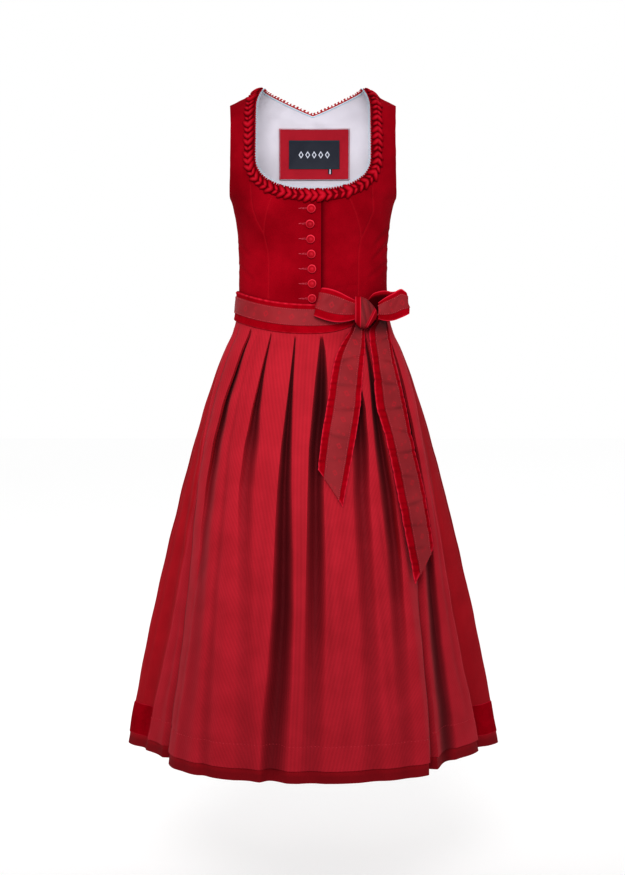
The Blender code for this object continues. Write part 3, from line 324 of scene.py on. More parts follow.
def bodyPoints(turn, height):
    turn, height = np.broadcast_arrays(np.asarray(turn, float), np.asarray(height, float))
    angle = np.radians(turn)
    lean = leanAt(height)
    x = bodyHalfWidth(height) * signedPower(np.sin(angle), 2 / body["power"])
    depth = np.where(np.cos(angle) > 0, bodyFront(height), bodyBack(height)) * np.maximum(np.cos(lean), 0) ** 0.9
    y = -depth * signedPower(np.cos(angle), 2 / body["power"])
    z = np.where(lean > 0, underarm + (shoulderHeight(x) - underarm) * np.sin(lean), height)
    bust = gaussian(np.abs(x) - body["bustX"], 0.045) * gaussian(z - body["bustHeight"], 0.048)
    y = y - np.where(np.cos(angle) > 0, body["bustFullness"] * bust, 0.0)
    return np.stack((x, y, z), -1)


def bodyNormals(turn, height):
    around = bodyPoints(turn + 0.4, height) - bodyPoints(turn - 0.4, height)
    up = bodyPoints(turn, np.minimum(height + 0.002, top)) - bodyPoints(turn, height - 0.002)
    return unit(np.cross(around, up))


def turnAt(x, height, back=False):
    share = np.minimum(np.abs(x) / bodyHalfWidth(height), 1.0)
    turn = np.sign(x) * np.degrees(np.arcsin(share ** (body["power"] / 2)))
    return 180 - turn if back else turn


def heightAt(x, z):
    share = np.clip((z - underarm) / (shoulderHeight(x) - underarm), 0, 1)
    return np.where(z <= underarm, z, underarm + body["shoulderArc"] * np.arcsin(share) * 2 / math.pi)


def waistSeam(turn):
    front = np.maximum(np.cos(np.radians(turn)), 0.0)
    return body["seamSide"] + (body["seamFront"] - body["seamSide"]) * front ** 2


# making meshes
def linkObject(name, data):
    made = bpy.data.objects.new(name, data)
    bpy.context.scene.collection.objects.link(made)
    return made


def finishPiece(piece, slotName, *nodes):
    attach(piece, "root")
    if nodes:
        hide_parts(*nodes)
    return piece


def makePiece(name, points, faces, materials, uvs=None, values=None, kinds=None):
    mesh = bpy.data.meshes.new(name)
    mesh.from_pydata([tuple(map(float, p)) for p in points], [], [tuple(map(int, f)) for f in faces])
    if uvs is not None:
        mesh.uv_layers.new(name="cloth").data.foreach_set("uv", np.asarray(uvs, np.float32).ravel())
    for key, column in (values or {}).items():
        mesh.attributes.new(key, "FLOAT", "POINT").data.foreach_set("value", np.asarray(column, np.float32).ravel())
    for material in materials:
        mesh.materials.append(material)
    if kinds is not None:
        mesh.polygons.foreach_set("material_index", np.asarray(kinds, np.int32))
    form = bmesh.new()
    form.from_mesh(mesh)
    if form.calc_volume(signed=True) < 0:
        bmesh.ops.reverse_faces(form, faces=form.faces)
        form.to_mesh(mesh)
    form.free()
    mesh.shade_smooth()
    mesh.set_sharp_from_angle(angle=math.radians(60))
    return linkObject(name, mesh)


# A wall between two nets of rows and columns. uLeft and uRight give each column of faces its own UV run.
def makeShell(name, outer, inner, material, closed=False, uLeft=None, uRight=None, v=None, values=None):
    rows, columns = outer.shape[:2]
    count = rows * columns
    faceColumns = columns if closed else columns - 1
    r, c = np.meshgrid(np.arange(rows - 1), np.arange(faceColumns), indexing="ij")
    n = (c + 1) % columns
    quads = np.stack((r * columns + c, (r + 1) * columns + c, (r + 1) * columns + n, r * columns + n), -1)
    quads = quads.reshape(-1, 4)
    if uLeft is None:
        run = rowLengths(np.concatenate((outer, outer[:, :1]), axis=1))
        run = run - run[:, [columns // 2]]
        uLeft, uRight = run[:, :faceColumns], run[:, 1:faceColumns + 1]
    if v is None:
        v = -rowLengths(outer.swapaxes(0, 1)).T
        v = v - v[[rows // 2]]
    uvQuads = np.stack((np.stack((uLeft[r, c], v[r, c]), -1), np.stack((uLeft[r + 1, c], v[r + 1, c]), -1),
                        np.stack((uRight[r + 1, c], v[r + 1, n]), -1), np.stack((uRight[r, c], v[r, n]), -1)), -2)
    uvQuads = uvQuads.reshape(-1, 4, 2)
    faces = [quads, (quads + count)[:, ::-1]]
    uvs = [uvQuads, uvQuads[:, ::-1]]
    # each open edge: its points, their UVs and which way round its faces go
    across, down = np.arange(faceColumns), np.arange(rows - 1)
    beside = (across + 1) % columns
    rims = [(row * columns + across, row * columns + beside, (uLeft[row, across], v[row, across]),
             (uRight[row, across], v[row, beside]), turnRound) for row, turnRound in ((0, False), (rows - 1, True))]
    if not closed:
        rims += [(down * columns + column, (down + 1) * columns + column, (u[down, face], v[down, column]),
                  (u[down + 1, face], v[down + 1, column]), turnRound)
                 for column, face, u, turnRound in ((0, 0, uLeft, True), (columns - 1, columns - 2, uRight, False))]
    for start, end, nearUv, farUv, turnRound in rims:
        rim = np.stack((start, end, end + count, start + count), -1)
        near, far = np.stack(nearUv, -1), np.stack(farUv, -1)
        uvRim = np.stack((near, far, far, near), -2)
        faces.append(rim[:, ::-1] if turnRound else rim)
        uvs.append(uvRim[:, ::-1] if turnRound else uvRim)
    both = {key: np.concatenate((column.ravel(), column.ravel())) for key, column in (values or {}).items()}
    points = np.concatenate((outer.reshape(-1, 3), inner.reshape(-1, 3)))
    return makePiece(name, points, np.concatenate(faces), [material], np.concatenate(uvs), both)


# A tree that sets a shape at even steps along a path. The path's cloth normal lies in the attribute "out".
def repeatTree():
    tree = bpy.data.node_groups.new("repeatAlongPath", "GeometryNodeTree")
    inputs = (("Geometry", "Geometry", None), ("Shape", "Object", None), ("Pitch", "Float", 0.01),
              ("Scale", "Vector", (1, 1, 1)), ("Side offset", "Float", 0.0), ("Rise", "Float", 0.0),
              ("Turn", "Float", 0.0), ("Unevenness", "Float", 0.0), ("Material", "Material", None))
    for name, kind, value in inputs:
        socket = tree.interface.new_socket(name, in_out="INPUT", socket_type="NodeSocket" + kind)
        if value is not None:
            socket.default_value = value
    tree.interface.new_socket("Geometry", in_out="OUTPUT", socket_type="NodeSocketGeometry")
    given = addNode(tree, "NodeGroupInput").outputs
    path = addNode(tree, "GeometryNodeMeshToCurve", {"Mesh": given["Geometry"]})
    even = addNode(tree, "GeometryNodeResampleCurve", {"Curve": path, "Length": given["Pitch"]}, mode="LENGTH")
    out = addNode(tree, "GeometryNodeInputNamedAttribute", {"Name": "out"}, data_type="FLOAT_VECTOR")
    tangent = addNode(tree, "GeometryNodeInputTangent")
    side = addNode(tree, "ShaderNodeVectorMath", {0: out, 1: tangent}, operation="CROSS_PRODUCT")
    sideways = addNode(tree, "ShaderNodeVectorMath", {0: side, "Scale": given["Side offset"]}, operation="SCALE")
    upward = addNode(tree, "ShaderNodeVectorMath", {0: out, "Scale": given["Rise"]}, operation="SCALE")
    shift = addNode(tree, "ShaderNodeVectorMath", {0: sideways, 1: upward}, operation="ADD")
    frameTurn = addNode(tree, "FunctionNodeAxesToRotation", {0: out, 1: tangent}, primary_axis="Z",
                        secondary_axis="X")
    angles = addNode(tree, "ShaderNodeCombineXYZ", {"Z": given["Turn"]})
    spin = addNode(tree, "FunctionNodeEulerToRotation", {0: angles})
    turned = addNode(tree, "FunctionNodeRotateRotation", {0: frameTurn, 1: spin}, rotation_space="LOCAL")
    held = addNode(tree, "GeometryNodeStoreNamedAttribute", {"Geometry": even, "Name": "facing", "Value": turned},
                   data_type="QUATERNION", domain="POINT")
    placed = addNode(tree, "GeometryNodeSetPosition", {"Geometry": held, "Offset": shift})
    points = addNode(tree, "GeometryNodeCurveToPoints", {"Curve": placed}, mode="EVALUATED")
    facing = addNode(tree, "GeometryNodeInputNamedAttribute", {"Name": "facing"}, data_type="QUATERNION")
    chance = addNode(tree, "FunctionNodeRandomValue", {2: -1.0, 3: 1.0, "Seed": 7}, data_type="FLOAT")
    change = addNode(tree, "ShaderNodeMath", {0: chance, 1: given["Unevenness"], 2: 1.0}, operation="MULTIPLY_ADD")
    size = addNode(tree, "ShaderNodeVectorMath", {0: given["Scale"], "Scale": change}, operation="SCALE")
    shape = addNode(tree, "GeometryNodeObjectInfo", {"Object": given["Shape"]}).outputs["Geometry"]
    copies = addNode(tree, "GeometryNodeInstanceOnPoints", {"Points": points, "Instance": shape, "Rotation": facing,
                                                            "Scale": size})
    real = addNode(tree, "GeometryNodeRealizeInstances", {0: copies})
    dressed = addNode(tree, "GeometryNodeSetMaterial", {"Geometry": real, "Material": given["Material"]})
    addNode(tree, "NodeGroupOutput", {0: dressed})
    return tree


def inputKey(tree, name):
    return next(item.identifier for item in tree.interface.items_tree
                if item.item_type == "SOCKET" and item.in_out == "INPUT" and item.name == name)


# A plump little shape that gets repeated, along X, with Z out of the cloth. When asked, its ridge gets a
# painted highlight and its flanks painted shade.
def plumpShape(name, sides, rings, taper=0.0, worn=False):
    points, faces = [(-0.5, 0, 0)], []
    for ring in range(1, rings):
        along = -math.cos(math.pi * ring / rings) * 0.5
        radius = math.sin(math.pi * ring / rings) ** 0.7 * 0.5 * (1 + taper * along)
        for side in range(sides):
            angle = 2 * math.pi * side / sides
            points.append((along, radius * math.cos(angle), radius * math.sin(angle)))
    points.append((0.5, 0, 0))
    last = len(points) - 1
    for side in range(sides):
        nxt = (side + 1) % sides
        faces.append((0, 1 + nxt, 1 + side))
        for ring in range(rings - 2):
            low = 1 + ring * sides
            faces.append((low + side, low + nxt, low + sides + nxt, low + sides + side))
        low = 1 + (rings - 2) * sides
        faces.append((low + side, low + nxt, last))
    mesh = bpy.data.meshes.new(name)
    mesh.from_pydata(points, [], faces)
    form = bmesh.new()
    form.from_mesh(mesh)
    bmesh.ops.recalc_face_normals(form, faces=form.faces)
    form.to_mesh(mesh)
    form.free()
    mesh.shade_smooth()
    ridge = [max(0.0, point[2] * 2.4 - 0.8) if worn else 0.0 for point in points]
    flank = [min(0.9, max(0.0, 0.58 - point[2] * 1.5)) if worn else 0.0 for point in points]
    for key, column in (("worn", ridge), ("shade", flank)):
        mesh.attributes.new(key, "FLOAT", "POINT").data.foreach_set("value", column)
    return linkObject(name, mesh)


pathTree = repeatTree()
plump = plumpShape("plumpStitch", 6, 4)
lobe = plumpShape("plaitLobe", 8, 6, -0.5, True)
# what a machine stitch on the ribbon looks like
ribbonStitch = {"Pitch": 0.0034, "Scale": (0.0024, 0.0009, 0.0007), "Unevenness": 0.2}


def repeatAlong(name, path, normals, shape, material, sizes):
    mesh = bpy.data.meshes.new(name)
    mesh.from_pydata([tuple(map(float, p)) for p in path], [(i, i + 1) for i in range(len(path) - 1)], [])
    out = mesh.attributes.new("out", "FLOAT_VECTOR", "POINT")
    out.data.foreach_set("vector", np.asarray(normals, np.float32).ravel())
    holder = linkObject(name + "Path", mesh)
    modifier = holder.modifiers.new("repeat", "NODES")
    modifier.node_group = pathTree
    for key, value in {"Shape": shape, "Material": material, **sizes}.items():
        modifier[inputKey(pathTree, key)] = value
    graph = bpy.context.evaluated_depsgraph_get()
    done = bpy.data.meshes.new_from_object(holder.evaluated_get(graph), depsgraph=graph)
    holder.modifiers.remove(modifier)
    bpy.data.objects.remove(holder)
    done.name = name
    return done


# joins plain meshes into one piece and keeps their wear-and-highlight and painted shade values
def joinMeshes(name, meshes):
    points, faces, kinds, slots, start = [], [], [], [], 0
    columns = {"worn": [], "shade": []}
    for mesh in meshes:
        flat = np.zeros(len(mesh.vertices) * 3, np.float32)
        mesh.vertices.foreach_get("co", flat)
        points.append(flat.reshape(-1, 3))
        for face in mesh.polygons:
            used = mesh.materials[face.material_index]
            if used not in slots:
                slots.append(used)
            kinds.append(slots.index(used))
            faces.append(tuple(start + i for i in face.vertices))
        for key, found in columns.items():
            found.append(np.zeros(len(mesh.vertices), np.float32))
            if key in mesh.attributes:
                mesh.attributes[key].data.foreach_get("value", found[-1])
        start += len(mesh.vertices)
        bpy.data.meshes.remove(mesh)
    joined = bpy.data.meshes.new(name)
    joined.from_pydata(np.concatenate(points).tolist(), [], faces)
    joined.polygons.foreach_set("material_index", np.array(kinds, np.int32))
    for key, found in columns.items():
        joined.attributes.new(key, "FLOAT", "POINT").data.foreach_set("value", np.concatenate(found))
    for material in slots:
        joined.materials.append(material)
    joined.shade_smooth()
    return linkObject(name, joined)


# the flat size that each cloth was cut to
cuts = []


def noteCut(piece, net, held, restsOn, withPieces=(), closed=False):
    if closed:
        net = np.concatenate((net, net[:, :1]), axis=1)
    across = np.linalg.norm(np.diff(net, axis=1), axis=2).sum(1).max()
    down = np.linalg.norm(np.diff(net, axis=0), axis=2).sum(0).max()
    a, b = net[1:, :-1] - net[:-1, :-1], net[:-1, 1:] - net[:-1, :-1]
    c, d = net[1:, :-1] - net[1:, 1:], net[:-1, 1:] - net[1:, 1:]
    area = 0.5 * (np.linalg.norm(np.cross(a, b), axis=2).sum() + np.linalg.norm(np.cross(c, d), axis=2).sum())
    cuts.append((piece, float(across), float(down), float(area), held, restsOn, list(withPieces)))


def declareCuts():
    for piece, across, down, area, held, restsOn, withPieces in cuts:
        print(f"{piece.name}: cut {across:.3f} by {down:.3f} m, {area:.4f} m2")


# skirt, hem bands and apron share one set of folds; section rows are as in body
skirt = {
    "cloth": 0.0011, "waistGap": 0.0007, "hemMargin": 0.02, "bandHeight": 0.054, "bandGap": 0.0004,
    "bandCloth": 0.001, "columnsPerFold": 19, "columnsPerPleat": 7, "rows": 78, "pleatRound": 0.0014, "fan": 1.2,
    "underApron": 0.0016, "weaveShift": 0.137,
    "sections": (
        (-0.36, 0.129, 0.0965, 0.0905), (-0.387, 0.1315, 0.099, 0.093), (-0.413, 0.1385, 0.1045, 0.098),
        (-0.44, 0.1515, 0.1165, 0.11), (-0.496, 0.1732, 0.1355, 0.1305), (-0.6, 0.2058, 0.166, 0.163),
        (-0.706, 0.2342, 0.193, 0.191), (-0.812, 0.2602, 0.218, 0.216), (-0.918, 0.2845, 0.2415, 0.239),
        (-1.025, 0.3062, 0.262, 0.26), (-1.136, 0.3265, 0.283, 0.28)),
    # turn and inset of the hem from the plain oval
    "frontHem": ((-90, 0), (-80, 0.023), (-68, 0.042), (-56, 0.03), (-44, 0.007), (-33, 0.002), (-18, 0), (0, 0),
                 (26, 0), (35, 0.002), (48, 0.036), (60, 0.042), (72, 0.033), (81, 0.025), (90, 0)),
    "backHem": ((90, 0), (99, 0.014), (112, 0.017), (127, 0.006), (145, 0), (172, 0.006), (196, 0.002),
                (222, 0.004), (243, 0.015), (258, 0.017), (270, 0)),
}
# each fold: its turn, half width in degrees and depth in mm at shares of the drop, how crisp its left and
# right lips are, how flat its floor is, its lean under its neighbour at the hem, the share of its depth
# that goes straight back instead of square to the cloth, and how much painted shade lies in it
foldShares = (0.036, 0.07, 0.13, 0.2, 0.28, 0.38, 0.5, 0.63, 0.78, 1.0)
frontFolds = (
    ((-84, -82, -80, -79, -79, -79, -79, -79.5, -80, -81), (2.6, 2.8, 3.2, 3.6, 3.8, 4, 4, 4.5, 4.5, 4.5),
     (1, 1.5, 2, 2, 2, 3, 4, 5, 6, 8), 0.2, 0.2, 2.5, 0.0, 0.0, 0.4),
    ((-68, -68, -68, -68.5, -69, -70, -68.5, -66.5, -63, -58.5), (1.5, 2, 2.4, 2.8, 3, 3, 3.5, 4, 4.5, 4.7),
     (1, 1.5, 2, 2, 2, 4, 9, 15, 22, 30), 0.2, 1.0, 3.0, 0.005, 0.0, 0.2),
    ((-48, -48.5, -49.6, -52, -52.5, -51.8, -49.4, -45.4, -43.1, -43.1),
     (1.0, 1.6, 2.2, 3.2, 4.2, 4.8, 5.0, 4.8, 4.4, 4.0), (6, 12, 18, 20, 18, 14, 11, 7, 5, 4),
     0.7, 0.3, 2.4, 0.0, 1.0, 1.0),
    ((-40, -41, -42, -43, -43.4, -41, -39.2, -37.5, -35.8, -33.5), (0.8, 1.0, 1.2, 1.6, 2.0, 2.3, 2.3, 2.2, 2.6, 2.9),
     (0.3, 0.5, 0.8, 1.2, 2, 3, 3.5, 4, 5, 5), 0.1, 0.3, 2.0, 0.0, 1.0, 1.0),
    ((-27.9, -27.9, -28.9, -29.8, -29.7, -29.4, -26.8, -23.8, -21.9, -19),
     (0.6, 0.9, 1.5, 2.6, 4.0, 3.8, 3.4, 3.4, 3.8, 4.4), (5, 9, 14, 18, 16, 10, 6, 4, 4, 5),
     0.7, 0.3, 2.4, 0.0, 1.0, 1.0),
    ((-10.3, -10.3, -11.0, -11.9, -12.3, -12.0, -11.1, -10.4, -10.7, -12.2),
     (0.5, 0.7, 1.1, 1.8, 2.6, 3.2, 3.7, 3.9, 4.2, 4.8), (4, 8, 13, 18, 24, 28, 30, 30, 24, 15),
     0.35, 0.4, 2.2, 0.0, 1.0, 1.05),
    ((4.6, 4.6, 4.2, 3.5, 1.6, 1.1, 1.1, 0.9, 0.3, -0.4), (0.8, 2.0, 3.2, 3.9, 3.5, 3.4, 3.6, 3.6, 3.6, 3.8),
     (5, 13, 21, 25, 26, 26, 24, 19, 10, 5), 0.6, 0.35, 2.5, 0.0, 1.0, 1.0),
    ((22.3, 22.3, 23.8, 24.6, 22.5, 20.6, 19.9, 19.3, 18.7, 17.5), (0.8, 1.4, 2.0, 3.0, 4.2, 4.0, 3.8, 3.6, 3.6, 4.0),
     (5, 11, 18, 23, 23, 17, 12, 9, 6, 4), 0.4, 0.3, 2.4, 0.0, 1.0, 1.0),
    ((36.0, 35.1, 34.3, 33.6, 33.1, 33.0, 32.3, 30.7, 29.5, 28.2), (1.2, 1.6, 2.2, 2.6, 3.4, 3.8, 3.4, 3.2, 3.2, 3.4),
     (5, 10, 17, 24, 27, 26, 21, 12, 6, 3), 0.4, 0.5, 2.6, 0.0, 1.0, 1.0),
    ((50, 49, 48, 47.5, 47, 48, 51.5, 48.2, 44.4, 39.6), (0.5, 0.5, 0.6, 0.8, 1.0, 1.4, 2.4, 3.0, 3.2, 3.4),
     (0, 0, 0, 0.3, 0.8, 2, 6, 15, 24, 32), 0.95, 0.2, 3.0, -0.006, 0.0, 0.25),
    ((67, 62.4, 60.0, 58.9, 58.0, 59, 58.8, 56.8, 54.3, 50.6), (0.9, 1.3, 1.7, 2.1, 2.8, 3.8, 5.4, 6.8, 7.8, 8.2),
     (5, 11, 16, 19, 18, 15, 16, 18, 19, 17), 0.3, 0.2, 2.2, 0.0, 1.0, 1.7),
    ((84, 81, 78.5, 77, 76, 76.5, 77.2, 78.2, 79.2, 80), (2.6, 3, 3.4, 3.8, 4.2, 4.5, 4.5, 4.5, 4.5, 4.5),
     (1, 1.5, 2, 2, 2, 3, 5, 6, 9, 12), 0.2, 0.2, 2.5, 0.0, 0.0, 0.4),
)


# a fold behind, from its turns and depths at four shares of the drop
def backFold(turns, widths, depths, lean=0.0):
    stations = (0.035, 0.28, 0.61, 1.0)
    return (smoothCurve(stations, turns)(foldShares),
            np.interp(foldShares, (0.036, 0.13, 0.45), (1.0, 0.65 * widths[0], widths[1])),
            1000 * smoothCurve((0.0,) + stations, (0.0,) + depths)(foldShares), 0.8, 0.6, 3.0, lean, 0.0, 0.6)


backFolds = (
    backFold((103, 104, 101, 99), (3.4, 4.4), (0.006, 0.018, 0.022, 0.026), 0.004),
    backFold((119, 121, 120, 118), (3.4, 5.0), (0.006, 0.014, 0.01, 0.004)),
    backFold((134, 138, 139, 138), (3.4, 5.4), (0.006, 0.022, 0.03, 0.028)),
    backFold((150, 154, 157, 157), (3.4, 5.0), (0.006, 0.016, 0.012, 0.006)),
    backFold((166, 171, 175, 177), (3.4, 5.6), (0.006, 0.022, 0.028, 0.024)),
    backFold((188, 189, 193, 195), (3.4, 5.0), (0.006, 0.014, 0.016, 0.01)),
    backFold((205, 207, 210, 212), (3.4, 5.4), (0.006, 0.02, 0.024, 0.02)),
    backFold((221, 224, 226, 228), (3.4, 5.0), (0.006, 0.018, 0.01, 0.004)),
    backFold((238, 241, 243, 245), (3.4, 5.6), (0.006, 0.02, 0.028, 0.03), -0.004),
    backFold((255, 257, 259, 260), (3.2, 4.6), (0.004, 0.008, 0.01, 0.008)),
)
# creases, listed one by one: turn at their start and end, the shares of the drop they run over, half width in degrees
# and depth in mm; a negative depth is a ridge
frontCreases = (
    (5.6, 6.2, 0.4, 0.86, 1.0, 3.2), (27.6, 28.4, 0.42, 0.6, 0.8, 2.0), (-47.5, -47.8, 0.04, 0.18, 0.9, 1.2),
    (-36.5, -38.0, 0.04, 0.3, 1.0, 0.9), (-23.5, -22.0, 0.04, 0.16, 0.8, 0.8), (-20.0, -18.5, 0.3, 0.75, 1.6, 1.6),
    (-3.5, -4.5, 0.04, 0.22, 1.0, 0.8), (-4.5, -5.0, 0.35, 0.95, 1.3, 2.0), (14.0, 12.0, 0.1, 0.55, 1.4, 1.8),
    (46.0, 41.0, 0.08, 0.5, 1.3, 2.4), (54.0, 50.0, 0.05, 0.35, 1.1, 1.4), (10.5, 9.5, 0.55, 0.98, 1.6, 2.2),
    (25.0, 24.5, 0.55, 0.98, 1.3, 2.0), (36.5, 35.5, 0.45, 0.98, 1.2, -1.8), (-31.0, -30.0, 0.55, 0.98, 1.4, -1.6),
    (-52.0, -49.5, 0.5, 0.98, 1.3, 2.0), (-71.0, -70.0, 0.3, 0.95, 1.6, 2.4), (69.0, 69.5, 0.25, 0.95, 1.6, 2.6),
    (60.0, 56.0, 0.45, 0.98, 1.4, 2.2), (-86.0, -86.0, 0.3, 0.9, 1.2, 1.6),
)
backCreases = (
    (111.0, 110.0, 0.05, 0.45, 1.2, 1.6), (127.0, 129.0, 0.2, 0.8, 1.5, 2.2), (144.0, 147.0, 0.05, 0.35, 1.1, 1.4),
    (146.0, 148.0, 0.5, 0.98, 1.6, 2.4), (161.0, 166.0, 0.3, 0.9, 1.5, 2.0), (179.0, 184.0, 0.05, 0.5, 1.3, 1.8),
    (197.0, 203.0, 0.25, 0.85, 1.6, 2.4), (214.0, 219.0, 0.05, 0.6, 1.2, 1.8), (231.0, 236.0, 0.35, 0.95, 1.5, 2.2),
    (249.0, 252.0, 0.1, 0.7, 1.4, 2.0), (264.0, 266.0, 0.3, 0.95, 1.3, 1.8), (94.0, 93.5, 0.25, 0.9, 1.4, 1.8),
)
skirtHalfWidth, skirtFront, skirtBack = curvesOf(skirt["sections"], (1, 2, 3))


# the body's rounded section turns into an oval below the waist
def ovalPower(height):
    return body["power"] + (2.0 - body["power"]) * smoothStep((body["seamSide"] - height) / 0.22)


def skirtEnvelope(turn, height):
    angle = np.radians(turn)
    power = 2 / ovalPower(height)
    x = skirtHalfWidth(height) * signedPower(np.sin(angle), power)
    depth = np.where(np.cos(angle) > 0, skirtFront(height), skirtBack(height))
    return np.stack((x, -depth * signedPower(np.cos(angle), power), height + 0 * x), -1)


def envelopeNormal(turn, height):
    around = skirtEnvelope(turn + 0.5, height) - skirtEnvelope(turn - 0.5, height)
    return unit(np.stack((around[..., 1], -around[..., 0], 0 * around[..., 0]), -1))


# shape of a fold from lip to lip: crisp lips drop at once, soft ones roll in
def foldProfile(u, crispLeft, crispRight, floor):
    crisp = np.where(u < 0, crispLeft, crispRight)
    return crisp * (1 - np.abs(u) ** floor) + (1 - crisp) * (1 - u ** 2) ** 2


# turns and displacements of every column at one share of the drop
def foldedRow(folds, creases, hem, drop, first, last):
    u = np.linspace(-1, 1, skirt["columnsPerFold"])
    pleatShares = np.linspace(0, 1, skirt["columnsPerPleat"] + 2)
    begin = smoothStep((drop - 0.034) / 0.012)
    turns = [np.interp(drop, foldShares, fold[0]) for fold in folds]
    rows = []      # turn, inset, sideways lean, straight back, painted shade, painted highlight on the lips
    lastLip = first

    def addPleat(end, share):
        pleat = lastLip + (end - lastLip) * share
        bulge = skirt["pleatRound"] * begin * np.sin(np.pi * share) * smoothStep((end - lastLip) / 8)
        rows.append(np.array((pleat, -bulge) + (0 * pleat,) * 4))

    for i, fold in enumerate(folds):
        half = np.interp(drop, foldShares, fold[1])
        depth = np.interp(drop, foldShares, fold[2]) / 1000 * begin
        before = turns[i - 1] if i else 2 * first - turns[0]
        after = turns[i + 1] if i + 1 < len(folds) else 2 * last - turns[i]
        left, right = min(half, 0.47 * (turns[i] - before)), min(half, 0.47 * (after - turns[i]))
        addPleat(turns[i] - left, pleatShares[1 if i else 0:-1])
        profile = foldProfile(u, fold[3], fold[4], fold[5])
        line = 0.0
        if fold[6]:
            # the overlapping edge that the front of the apron ends in, with a thin painted shadow line along it
            side = -np.sign(fold[6])
            line = (0.01 if side > 0 else 0.022) * min(1.0, depth / 0.006) * gaussian(u + side * 0.95, 0.14)
        rows.append(np.array((turns[i] + u * np.where(u < 0, left, right), (1 - fold[7]) * depth * profile,
                              fold[6] * drop ** 2 * profile, fold[7] * depth * profile,
                              fold[8] * depth * profile + line,
                              fold[3] * gaussian(u + 1, 0.13) + fold[4] * gaussian(u - 1, 0.13))))
        lastLip = turns[i] + right
    addPleat(last, pleatShares[1:])
    turn, inset, lean, back, dark, lip = np.concatenate(rows, axis=1)
    for start, end, low, high, width, depth in creases:
        along = (drop - low) / (high - low)
        if -0.2 < along < 1.2:
            strength = smoothStep(along * 4 + 0.4) * smoothStep((1 - along) * 3 + 0.3)
            crease = depth / 1000 * strength * gaussian(turn - (start + (end - start) * along), width)
            inset = inset + crease
            # painted shade in the crease
            dark = dark + crease
    flat = smoothStep((drop - 0.12) / 0.68)
    inset = inset + flat * curvesOf(hem, (1,))[0](turn)
    return turn, inset, lean, back, dark, lip


# nets of a folded panel's faces, the painted shade in its folds and where their lips are
def foldedPanel(folds, creases, hem, shares, levels, first, last, layers=((0.0, 0.0),), lift=None):
    nets = [[] for _ in layers]
    shades, lips = [], []
    for drop, level in zip(shares, levels):
        turn, inset, lean, back, dark, lip = foldedRow(folds, creases, hem, drop, first(drop), last(drop))
        height = level(turn)
        base, normal = skirtEnvelope(turn, height), envelopeNormal(turn, height)
        tangent = np.stack((-normal[:, 1], normal[:, 0], 0 * normal[:, 0]), -1)
        inset = inset - 0.0006 * unevenness(base[:, 0] + 0.7 * base[:, 1], height, 0.085,
                                            2.0) * smoothStep(drop * 4)
        if lift is not None:
            inset = inset - lift(turn, height)
        shift = tangent * lean[:, None] + back[:, None] * np.array((0, 1.0, 0))
        for net, offset in zip(nets, layers):
            amount = offset(drop) if callable(offset) else offset
            net.append(base - normal * (inset - amount)[:, None] + shift)
        # painted shade: narrow folds near the waist get as much as deep ones lower down
        shades.append(1 - np.exp(-np.clip(dark, 0, 1) / (0.01 + 0.013 * smoothStep((drop - 0.15) / 0.25))))
        lips.append(lip)
    return [np.array(net) for net in nets], np.array(shades), np.array(lips)


# UV runs that start anew at the middle of every pleat, so that the weave isn't stretched across it
def pleatRuns(net, foldCount):
    perFold, perPleat = skirt["columnsPerFold"], skirt["columnsPerPleat"]
    run, columns = rowLengths(net), net.shape[1]
    valleys = [perPleat + 1 + perFold // 2 + i * (perFold + perPleat) for i in range(foldCount)]
    edges = [0] + valleys + [columns - 1]
    pleat = np.searchsorted(valleys, np.arange(columns - 1), side="right")
    centres = [0] + [(edges[i] + edges[i + 1]) // 2 for i in range(1, foldCount)] + [columns - 1]
    start = run[:, np.array(centres)[pleat]] - skirt["weaveShift"] * pleat
    v = runLength(net[:, columns // 2])[:, None]
    # the twill's lines fan out, as the cloth is laid anew in each pleat
    slant = skirt["fan"] * (1 - 2 * pleat / foldCount) * -v
    return {"uLeft": run[:, :-1] - start + slant, "uRight": run[:, 1:] - start + slant,
            "v": np.repeat(-v, columns, 1)}


# height of a row at a share of the drop: it follows the waist seam at the top and is level at the hem
def rowHeight(seam, gap, share):
    def height(turn):
        even = (seam - gap) * (1 - share) + body["hem"] * share
        return even + (waistSeam(turn) - seam) * (1 - smoothStep(share / 0.35))
    return height


